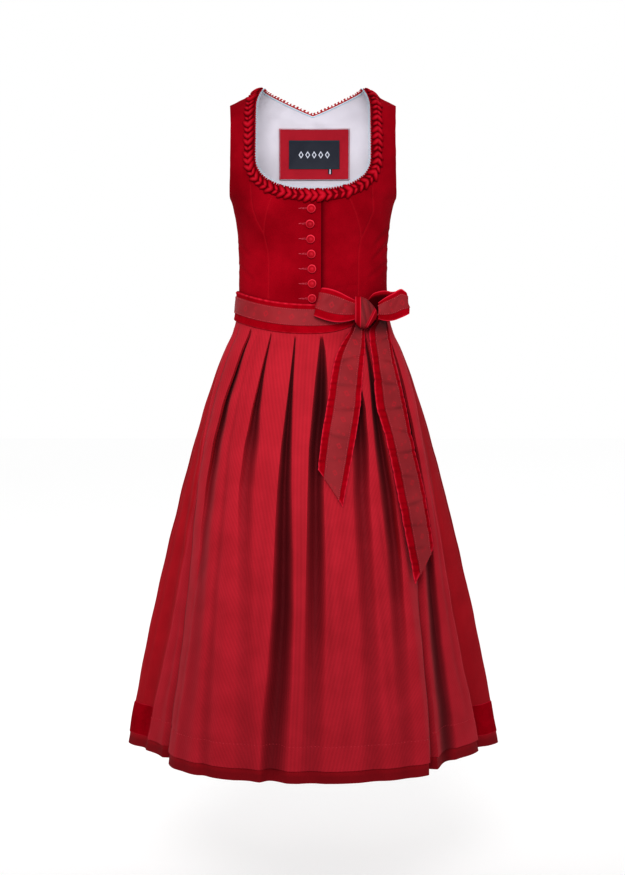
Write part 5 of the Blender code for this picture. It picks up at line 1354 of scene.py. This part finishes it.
def makeButtons():
    for number, x, height in buttonPlaces():
        turn = float(turnAt(x, height))
        normal = bodyNormals(turn, height)
        centre = bodyPoints(turn, height) + normal * buttons["seat"]
        across = unit(np.cross((0, 0, 1.0), normal))
        up = np.cross(normal, across)
        sides = buttons["sides"]
        angle = 2 * math.pi * np.arange(sides) / sides
        points, worn = [], []
        for (radius, rise), paleWearAndHighlight in zip(buttons["profile"], buttons["paleWearAndHighlight"]):
            wobble = 1 + 0.015 * np.sin(3 * angle + number) + 0.01 * np.sin(7 * angle + 2 * number)
            lump = rise * (1 + 0.05 * np.sin(2 * angle + number * 1.7))
            points.append(centre + across * (radius * wobble * np.cos(angle))[:, None]
                          + up * (radius * wobble * np.sin(angle))[:, None] + normal * lump[:, None])
            # the rim's wear and painted highlight, stronger towards one side
            worn.append(paleWearAndHighlight * (0.8 + 0.3 * np.sin(angle + 0.7)))
        points = np.concatenate(points)
        rings = len(buttons["profile"])
        faces = [(r * sides + s, r * sides + (s + 1) % sides, (r + 1) * sides + (s + 1) % sides, (r + 1) * sides + s)
                 for r in range(rings - 1) for s in range(sides)]
        faces += [tuple(reversed(range(sides))), tuple(range((rings - 1) * sides, rings * sides))]
        piece = makePiece(f"button_{number + 1}_covered", points, faces, [buttonVelvet],
                          values={"worn": np.clip(np.concatenate(worn), 0, 1)})
        finishPiece(piece, "button_velvet", f"button_{number + 1}")


def makeButtonholes():
    meshes = []
    for number, x, height in buttonPlaces():
        for way in (-1, 1):
            xs = np.linspace(-0.0232, x - 0.0062, 12)
            heights = height + way * 0.001 * np.sqrt(np.linspace(0, 1, 12)) + 0.0003 * np.sin(xs * 900 + number)
            turn = turnAt(xs, heights)
            meshes.append(repeatAlong("buttonhole", bodyPoints(turn, heights), bodyNormals(turn, heights), plump,
                                      roseThread, buttons["holeStitch"]))
    finishPiece(joinMeshes("buttonhole_stitches", meshes), "bodice_velvet")


makeButtons()
makeButtonholes()
print("buttons made")


# labels inside the back
labels = {
    "inside": 0.0028, "gap": 0.0022,
    "patch": {"x": 0.0022, "width": 0.127, "z": -0.099, "tall": 0.0901, "thick": 0.0012, "lift": 0.0},
    "label": {"x": 0.0022, "width": 0.092, "z": -0.099, "tall": 0.0506, "thick": 0.001, "lift": 0.0016},
    "tab": {"x": 0.031, "width": 0.007, "z": -0.129, "tall": 0.0088, "thick": 0.0008, "lift": 0.0016},
}


def makePatch(name, look, material, slotName, node, columns=25, rows=19):
    u, w = np.meshgrid(*[np.concatenate(([-1, -0.985], np.linspace(-0.96, 0.96, count - 4), [0.985, 1]))
                         for count in (columns, rows)])
    x, z = look["x"] - u * look["width"] / 2, look["z"] - w * look["tall"] / 2
    height = heightAt(x, z)
    turn = turnAt(x, height, True)
    solid, normal = bodyPoints(turn, height), bodyNormals(turn, height)
    depth = labels["inside"] + labels["gap"] + look["lift"]
    toEdge = np.maximum(np.abs(u), np.abs(w))
    lift = 0.0004 * unevenness(x, z, 0.04, 1.0) + 0.0004 * toEdge ** 6
    rim = 1 - 0.5 * (toEdge > 0.99)
    shift = np.array((0, 0.00015, 0))
    outer = solid - normal * (depth + look["thick"] * rim + lift)[..., None] + shift
    inner = solid - normal * (depth + lift)[..., None] + shift
    u = look["x"] - x
    piece = makeShell(name, outer, inner, material, uLeft=u[:, :-1], uRight=u[:, 1:], v=z - look["z"])
    finishPiece(piece, slotName, node)
    if look["width"] > 0.05:
        noteCut(piece, outer, "laid", ["back_lining_cotton"])
    return outer, normal


def makeLabels():
    outer, normal = makePatch("label_patch_cotton", labels["patch"], patchCloth, "label_patch", "label_patch")
    makePatch("label_woven", labels["label"], labelWeave, "label", "label")
    makePatch("label_tab_woven", labels["tab"], tabWeave, "label", "label_tab", 9, 9)
    # pale stitching round the patch
    ring, facing = [np.concatenate((net[1, 1:-1], net[2:-1, -2], net[-2, 1:-2][::-1], net[1:-2, 1][::-1]))
                    for net in (outer, -normal)]
    mesh = repeatAlong("patchStitches", ring, facing, plump, paleThread, {
        "Pitch": 0.0032, "Scale": (0.003, 0.0009, 0.0007), "Rise": 0.0002, "Unevenness": 0.1})
    finishPiece(joinMeshes("patch_stitches", [mesh]), "label_patch")


tabWeave = labelMaterial({**labelLook, "half": (0.0035, 0.02), "borders": ((0.0026, 0.0036, "#C8CCD6"),),
                          "rowHalf": 0.0})
makeLabels()
print("labels made")


bow = {
    "cloth": 0.0016, "ribbonCloth": 0.001, "gap": 0.0004, "standOff": 0.0046,
    # the knot at places along X: its top, bottom, back and front
    "knot": ((0.0684, -0.356, -0.386, -0.098, -0.106), (0.07, -0.3512, -0.3925, -0.096, -0.112),
             (0.0745, -0.3498, -0.4, -0.0945, -0.118), (0.081, -0.3515, -0.4045, -0.0915, -0.122),
             (0.0885, -0.3545, -0.4045, -0.087, -0.123), (0.0955, -0.36, -0.4005, -0.082, -0.1195),
             (0.1025, -0.3675, -0.393, -0.077, -0.111), (0.107, -0.3738, -0.387, -0.074, -0.101),
             (0.1088, -0.3775, -0.382, -0.075, -0.09)),
    "knotFold": 0.0118, "knotFoldDepth": 0.0009, "velvetLeft": 0.08, "velvetLow": 0.2606,
    # plan places of each loop with its top, bottom and flare
    "rightLoop": ((0.0758, -0.1062, -0.36, -0.387, 0.0), (0.06, -0.1155, -0.352, -0.392, 0.0),
                  (0.045, -0.12, -0.344, -0.394, -0.003), (0.03, -0.121, -0.3385, -0.391, -0.007),
                  (0.018, -0.1195, -0.3365, -0.385, -0.012), (0.0145, -0.116, -0.3365, -0.383, -0.013),
                  (0.018, -0.112, -0.3375, -0.3835, -0.011), (0.03, -0.1095, -0.341, -0.387, -0.006),
                  (0.045, -0.106, -0.346, -0.389, -0.002), (0.066, -0.099, -0.36, -0.386, 0.0)),
    "leftLoop": ((0.093, -0.085, -0.356, -0.37, 0.0), (0.1, -0.085, -0.3475, -0.375, 0.0),
                 (0.111, -0.082, -0.3425, -0.38, 0.0), (0.122, -0.078, -0.341, -0.383, 0.0),
                 (0.133, -0.0745, -0.343, -0.384, 0.0), (0.148, -0.0705, -0.3415, -0.382, 0.004),
                 (0.1565, -0.0715, -0.343, -0.3805, 0.005), (0.1575, -0.0765, -0.344, -0.38, 0.006),
                 (0.149, -0.0825, -0.3385, -0.3855, 0.003), (0.136, -0.089, -0.345, -0.3915, 0.0),
                 (0.122, -0.0945, -0.3525, -0.392, 0.0), (0.11, -0.095, -0.361, -0.389, 0.0)),
    # height, left and right edge and stand-off of each tail, then how far its point hangs
    "rightTail": ((-0.392, 0.0653, 0.0787, 0.0125), (-0.4093, 0.0586, 0.0812, 0.011),
                  (-0.4329, 0.0452, 0.0846, 0.0065),
                  (-0.4582, 0.0351, 0.0837, 0.0046), (-0.4836, 0.0301, 0.0808, 0.0046),
                  (-0.5258, 0.0234, 0.078, 0.0046),
                  (-0.5934, 0.0122, 0.0676, 0.0046), (-0.632, 0.0083, 0.0603, 0.0046)),
    "leftTail": ((-0.392, 0.0994, 0.1146, 0.0125), (-0.4093, 0.0893, 0.1197, 0.011),
                 (-0.4329, 0.0927, 0.1281, 0.0065),
                 (-0.4582, 0.0975, 0.1335, 0.0046), (-0.49, 0.1, 0.1425, 0.0046), (-0.5258, 0.1025, 0.151, 0.0046),
                 (-0.5915, 0.12, 0.164, 0.0046), (-0.69, 0.14, 0.1858, 0.0046), (-0.768, 0.155, 0.198, 0.0046)),
    # creases across the tails: height, depth and half width, and how far they slant
    "rightCreases": ((-0.42, 0.001, 0.003, 0.3), (-0.456, 0.0012, 0.0026, -0.2), (-0.499, 0.0009, 0.0024, 0.15),
                     (-0.54, 0.0012, 0.0028, -0.1), (-0.583, 0.001, 0.0024, 0.2), (-0.62, 0.0008, 0.0022, -0.1)),
    "leftCreases": ((-0.425, 0.0012, 0.0028, -0.3), (-0.46, 0.001, 0.0024, 0.2), (-0.498, 0.0013, 0.0028, 0.1),
                    (-0.54, 0.0014, 0.0024, -0.15), (-0.576, 0.001, 0.0026, 0.2), (-0.613, 0.0013, 0.0024, -0.1),
                    (-0.652, 0.001, 0.0026, 0.15), (-0.696, 0.0013, 0.0028, -0.2), (-0.733, 0.001, 0.0024, 0.1),
                    (-0.77, 0.0009, 0.0022, 0.1)),
    "rightTailPoint": 0.061, "leftTailPoint": -0.055,
}


# a smooth run through a few points, in even steps
def smoothRun(table, count):
    table = np.array(table)
    length = runLength(table[:, :2])
    t = np.linspace(0, length[-1], count)
    i = np.clip(np.searchsorted(length, t) - 1, 0, len(table) - 2)
    step = (length[i + 1] - length[i])[:, None]
    tangents = np.gradient(table, length, axis=0)
    return cubic((t - length[i])[:, None] / step, step, table[i], tangents[i], table[i + 1], tangents[i + 1])


def makeLoop(name, table, backFirst):
    run = smoothRun(table, 84)
    tops = np.stack((run[:, 0], run[:, 1], run[:, 2]), -1)
    lows = np.stack((run[:, 0] + run[:, 4], run[:, 1], run[:, 3]), -1)
    along = unit(np.gradient((tops + lows) / 2, axis=0))
    normal = -unit(np.cross(lows - tops, along))
    length, place = runLength(tops), np.linspace(0, 1, len(run))
    swell = np.sin(np.pi * place)

    def layer(shares, offset, edgeRound):
        net = []
        for w in shares:
            ripple = 0.0009 * unevenness(length, w * 0.05 + 0 * length, 0.024, 2.0) * swell
            fold = 0.0014 * np.sin(w * 7.0 + length * 30) * gaussian(np.linspace(-1, 1, len(run)) ** 2 - 1, 0.35)
            out = offset - edgeRound * (gaussian(w - shares[0], 0.02) + gaussian(w - shares[-1], 0.02))
            net.append(tops + (lows - tops) * w + normal * (out + ripple + fold)[:, None])
        return np.array(net)

    shares = np.concatenate(([0, 0.01, 0.03, 0.06], np.linspace(0.11, 0.89, 11), [0.94, 0.97, 0.99, 1.0]))
    outer, inner = layer(shares, bow["cloth"] / 2, 0.0004), layer(shares, -bow["cloth"] / 2, -0.0004)
    # the velvet's edges: paler with wear and a painted highlight
    worn = (0.9 * gaussian(shares - 0.015, 0.02) + 0.7 * gaussian(shares - 0.99, 0.02))[:, None]
    # painted shade inside the loop, below the back layer's top edge
    inside = 1 - smoothStep((place - 0.44) / 0.06) if backFirst else smoothStep((place - 0.56) / 0.06)
    shade = 0.82 * inside * smoothStep((shares - 0.13) / 0.08)[:, None]
    velvet = makeShell(name + "_velvet", outer, inner, trimVelvet,
                       values={"worn": np.clip(worn * (1 - shade), 0, 1), "shade": shade})
    finishPiece(velvet, "trim_velvet", name)
    noteCut(velvet, outer, "shadeTone", ["bow_knot_tied"])
    shares = np.concatenate(([0.17, 0.185, 0.2, 0.215], np.linspace(0.25, 0.66, 8), [0.695, 0.71, 0.725, 0.74]))
    base = bow["cloth"] / 2 + bow["gap"] * 0.5
    near, far = layer(shares, base, 0.0), layer(shares, base + bow["ribbonCloth"] * 0.7, 0.0003)
    # painted shade along the two stitched lines
    channel = 0.38 * gaussian(np.abs(shares - 0.455) - 0.255, 0.009)
    shade = np.maximum(channel[:, None], 0.82 * inside[None, :])
    ribbon = makeShell(name + "_ribbon", far, near, ribbonTaffeta, values={"shade": shade})
    finishPiece(ribbon, "ribbon")
    meshes = [repeatAlong("loopStitches", layer([w], bow["cloth"] / 2 + 0.001, 0.0)[0], normal, plump, redThread,
                          ribbonStitch) for w in (0.2, 0.71)]
    stitches = finishPiece(joinMeshes(name + "_stitches", meshes), "ribbon")
    noteCut(ribbon, far, "shadeTone", [velvet.name], [stitches])


def makeKnot():
    places = np.concatenate(([0.0684], np.linspace(0.0692, 0.1082, 40), [0.1088]))
    tops, lows, backs, fronts = [curve(places) for curve in curvesOf(bow["knot"], (1, 2, 3, 4))]
    sides = 56
    angle = 2 * math.pi * np.arange(sides) / sides
    rings, worn, shade = [], [], []
    for x, high, low, back, front in zip(places, tops, lows, backs, fronts):
        y = (back + front) / 2 - (back - front) / 2 * signedPower(np.cos(angle), 0.8)
        z = (high + low) / 2 + (high - low) / 2 * signedPower(np.sin(angle), 0.85)
        run = x + 0.22 * z + 0.003 * np.sin(30 * z)
        wave = np.sin(2 * math.pi * run / bow["knotFold"] + 2.2)
        low = 0.89 * x - 0.455 * z - bow["velvetLow"]
        facing = smoothStep(np.cos(angle) * 2)
        ribbon = smoothStep((x - bow["velvetLeft"]) / 0.0015) * smoothStep(-low / 0.0015)
        fold = bow["knotFoldDepth"] * wave * ribbon + 0.0007 * (1 - ribbon)
        rings.append(np.stack((x + 0 * y, y - facing * fold, z), -1))
        # wear and painted highlights along the velvet strips' edges
        pressedAndHighlit = [reach + 0 * y for reach in (
            0.9 * gaussian(x - 0.0712, 0.0012), 0.8 * gaussian(x - bow["velvetLeft"] + 0.0006, 0.0006),
            0.9 * gaussian(low - 0.003, 0.001), 0.5 * gaussian(low, 0.0007))]
        worn.append(facing * np.max(pressedAndHighlit, axis=0))
        # painted shade on the ribbon, more in the valleys of its folds, and towards the bottom
        shade.append(facing * np.maximum((0.16 + 0.3 * gaussian(wave + 1, 0.6)) * ribbon,
                                         0.5 * smoothStep((-0.398 - z) / 0.008)))
    count = len(places)
    faces, kinds, uvs = [], [], []
    sideStep = 0.0024      # of the weave, from one point of a ring to the next
    for r in range(count - 1):
        for s in range(sides):
            n = (s + 1) % sides
            faces.append((r * sides + s, r * sides + n, (r + 1) * sides + n, (r + 1) * sides + s))
            x, _, z = (rings[r][s] + rings[r + 1][s]) / 2
            velvet = x < bow["velvetLeft"] or 0.89 * x - 0.455 * z > bow["velvetLow"]
            kinds.append(0 if velvet else 1)
            uvs += [(s * sideStep, places[r]), ((s + 1) * sideStep, places[r]),
                    ((s + 1) * sideStep, places[r + 1]), (s * sideStep, places[r + 1])]
    faces += [tuple(range(sides)), tuple(reversed(range((count - 1) * sides, count * sides)))]
    kinds += [0, 0]
    uvs += [(0, 0)] * sides * 2
    piece = makePiece("bow_knot_tied", np.concatenate(rings), faces, [trimVelvet, ribbonTaffeta], uvs, {
        "worn": np.clip(np.concatenate(worn), 0, 1), "shade": np.clip(np.concatenate(shade), 0, 0.9)}, kinds)
    finishPiece(piece, "ribbon", "bow_knot")


def tailSurface(x, height, standOff):
    share = np.minimum(np.abs(x) / skirtHalfWidth(height), 1.0)
    turn = np.degrees(np.arcsin(share ** (ovalPower(height) / 2)))
    return skirtEnvelope(turn, height) + envelopeNormal(turn, height) * np.asarray(standOff)[..., None]


def makeTail(name, table, tipDrop, creases, ribbon, seed):
    table = np.array(table)
    heights = table[:, 0]
    end = heights[-1] - 0.004
    slope = [(table[-1, i] - table[-2, i]) / (heights[-1] - heights[-2]) for i in (1, 2)]
    extended = np.concatenate((table, [(end - 0.07, table[-1, 1] + slope[0] * (end - 0.07 - heights[-1]),
                                        table[-1, 2] + slope[1] * (end - 0.07 - heights[-1]), bow["standOff"])]))
    left, right, stand = curvesOf(extended, (1, 2, 3))
    t = np.linspace(0, 1, 170)[None, :]

    def layer(shares, offset, edgeRound=0.0, pucker=0.0):
        w = np.asarray(shares)[:, None]
        lowest = end - (max(-tipDrop, 0.0) * (1 - w) + max(tipDrop, 0.0) * w)
        height = heights[0] + (lowest - heights[0]) * t
        loose = smoothStep((heights[0] - 0.03 - height) / 0.05)
        wobble = (0.00035 * unevenness(height, 0 * height + seed, 0.031, seed)
                  + 0.0002 * unevenness(height, 0 * height, 0.013, seed))
        # past the last full row the cut slants, and the cloth keeps the edge that reaches its point
        x = left(height) + (right(height) - left(height)) * w + wobble * (2 * w - 1) * loose
        ripple = 0.0008 * unevenness(height, w * 0.03 + 0 * height, 0.05, seed + 1.0) * loose
        for place, depth, width, slant in creases:
            away = height - place + slant * (x - (left(height) + right(height)) / 2)
            ripple = ripple - depth * gaussian(away, width) + 0.5 * depth * gaussian(away - 1.7 * width, width)
        beside = gaussian(w - ribbon[0], 0.05) + gaussian(w - ribbon[1], 0.04)
        gather = np.sin(2 * math.pi * height / 0.0056 + seed) * beside
        out = stand(height) + offset + ripple + pucker * gather
        out = out - edgeRound * (gaussian(w, 0.03) + gaussian(w - 1, 0.03))
        out = out + 0.0004 * gaussian(np.abs(w - 0.5) - 0.42, 0.05)
        return tailSurface(x, height, np.maximum(out, 0.003)), height

    shares = np.concatenate(([0, 0.01, 0.03, 0.06, 0.1], np.linspace(0.16, 0.84, 11), [0.9, 0.94, 0.97, 0.99, 1.0]))
    outer, height = layer(shares, bow["cloth"], 0.0005, 0.0003)
    inner, _ = layer(shares, 0.0)
    w = shares[:, None]
    # the velvet's edges: paler with wear and a painted highlight; the cut end is paler too
    worn = gaussian(w - 0.012, 0.016) + gaussian(w - 0.988, 0.016)
    worn = worn * (0.85 + 0.3 * unevenness(height, w, 0.02, seed))
    worn = np.maximum(worn, 0.5 * smoothStep((t - 0.985) / 0.01) + 0 * w)
    # painted shade under the knot at the top, and in the puckers along the edges
    dark = 0.75 * smoothStep((height - heights[0] + 0.03) / 0.022)
    dips = np.clip(0.3 * unevenness(height, 0 * w + (w > 0.5), 0.009, seed), 0, 0.45) * (0.5 + 1.2 * np.abs(w - 0.5))
    velvet = makeShell(name + "_velvet", outer, inner, trimVelvet,
                       values={"worn": np.clip(worn * (1 - dips), 0, 1), "shade": np.maximum(dark, dips)})
    finishPiece(velvet, "trim_velvet", name)
    inset = np.array((0, 0.015, 0.035, 0.055))
    shares = np.concatenate((ribbon[0] + inset, np.linspace(ribbon[0] + 0.1, ribbon[1] - 0.1, 8),
                             ribbon[1] - inset[::-1]))
    near = bow["cloth"] + bow["gap"]
    under, _ = layer(shares, near, 0.0, 0.0004)
    face, height = layer(shares, near + bow["ribbonCloth"], 0.0, 0.0004)
    # painted shade under the knot, along the stitched lines and in the creases
    dark = 0.75 * smoothStep((height - heights[0] + 0.03) / 0.022)
    middle = (ribbon[0] + ribbon[1]) / 2
    fromLine = np.abs(shares - middle)[:, None] - (ribbon[1] - ribbon[0]) / 2 + 0.035
    dark = np.maximum(dark, 0.4 * gaussian(fromLine, 0.012))
    for place, depth, width, slant in creases:
        away = height - place + slant * 0.05 * (shares - middle)[:, None]
        reach = gaussian(shares - middle + 0.25 * math.sin(700 * place), 0.3)[:, None]
        dark = np.maximum(dark, 230 * depth * reach * gaussian(away, 1.0 * width))
    strip = makeShell(name + "_ribbon_face", face, under, ribbonTaffeta, values={"shade": np.clip(dark, 0, 0.85)})
    finishPiece(strip, "ribbon", name + "_ribbon")
    meshes = []
    for share in (ribbon[0] + 0.035, ribbon[1] - 0.035):
        net, _ = layer([share], near + bow["ribbonCloth"] + 0.0001, 0.0, 0.0004)
        facing = unit(net[0] * np.array((1, 1, 0)))
        meshes.append(repeatAlong("tailStitches", net[0][8:], facing[8:], plump, redThread, ribbonStitch))
    stitches = finishPiece(joinMeshes(name + "_stitches", meshes), "ribbon")
    noteCut(velvet, outer, "hung", ["bow_knot_tied"])
    noteCut(strip, face, "hung", [velvet.name], [stitches])


makeKnot()
makeLoop("bow_loop_right", bow["rightLoop"], False)
makeLoop("bow_loop_left", bow["leftLoop"], True)
makeTail("bow_tail_right", bow["rightTail"], bow["rightTailPoint"], bow["rightCreases"], (0.21, 0.82), 1.0)
makeTail("bow_tail_left", bow["leftTail"], bow["leftTailPoint"], bow["leftCreases"], (0.26, 0.85), 2.5)
print("bow made")


studio = {"floor": -1.5, "floorReach": 12.0, "worldStrength": 1.0, "focal": 75.66, "sensor": 36.0,
          "camera": (-0.0009, -3.2, -0.357), "pitch": 4.276, "farthest": 60.0, "gamma": 0.8,
          "key": (-0.18, -2.9, 0.66), "keyAim": (-0.1, -0.1, -0.27), "keyPower": 400.0, "keyCone": 40.0,
          "keySize": 0.6}


def makeStudio():
    for shape in (plump, lobe):
        bpy.data.objects.remove(shape)
    mesh = bpy.data.meshes.new("floor")
    corners = [(x * studio["floorReach"], y * studio["floorReach"], studio["floor"])
               for x, y in ((-1, -1), (1, -1), (1, 1), (-1, 1))]
    mesh.from_pydata(corners, [], [(0, 1, 2, 3)])
    # matt white paper with hardly any tone in it
    material, tree, shader = newMaterial("matteWhiteFloor", 0.95, 0.0)
    tint = addNode(tree, "ShaderNodeTexNoise", {"Scale": 3.0})
    paper = addNode(tree, "ShaderNodeMix", {0: tint, 6: "#FCFCFC", 7: "#FFFFFF"}, **blend)
    fillInputs(tree, shader, {"Base Color": paper})
    mesh.materials.append(material)
    linkObject("floor", mesh)
    world = bpy.data.worlds.new("studio")
    world.use_nodes = True
    fillInputs(world.node_tree, world.node_tree.nodes["Background"], {"Color": (1, 1, 1, 1),
                                                                      "Strength": studio["worldStrength"]})
    light = bpy.data.lights.new("key", "SPOT")
    light.energy = studio["keyPower"]
    light.spot_size = math.radians(studio["keyCone"])
    light.spot_blend = 1.0
    light.shadow_soft_size = studio["keySize"]
    lamp = linkObject("key", light)
    lamp.location = studio["key"]
    lamp.rotation_euler = (Vector(studio["keyAim"]) - Vector(studio["key"])).to_track_quat("-Z", "Y").to_euler()
    camera = linkObject("camera", bpy.data.cameras.new("camera"))
    camera.data.lens = studio["focal"]
    camera.data.sensor_width = studio["sensor"]
    camera.data.clip_end = studio["farthest"]
    camera.location = studio["camera"]
    camera.rotation_euler = (math.radians(90 - studio["pitch"]), 0, 0)
    scene = bpy.context.scene
    scene.world, scene.camera = world, camera
    scene.view_settings.view_transform = "Standard"
    scene.view_settings.gamma = studio["gamma"]


makeStudio()
print("studio made")
declareCuts()
print("cut sizes declared")
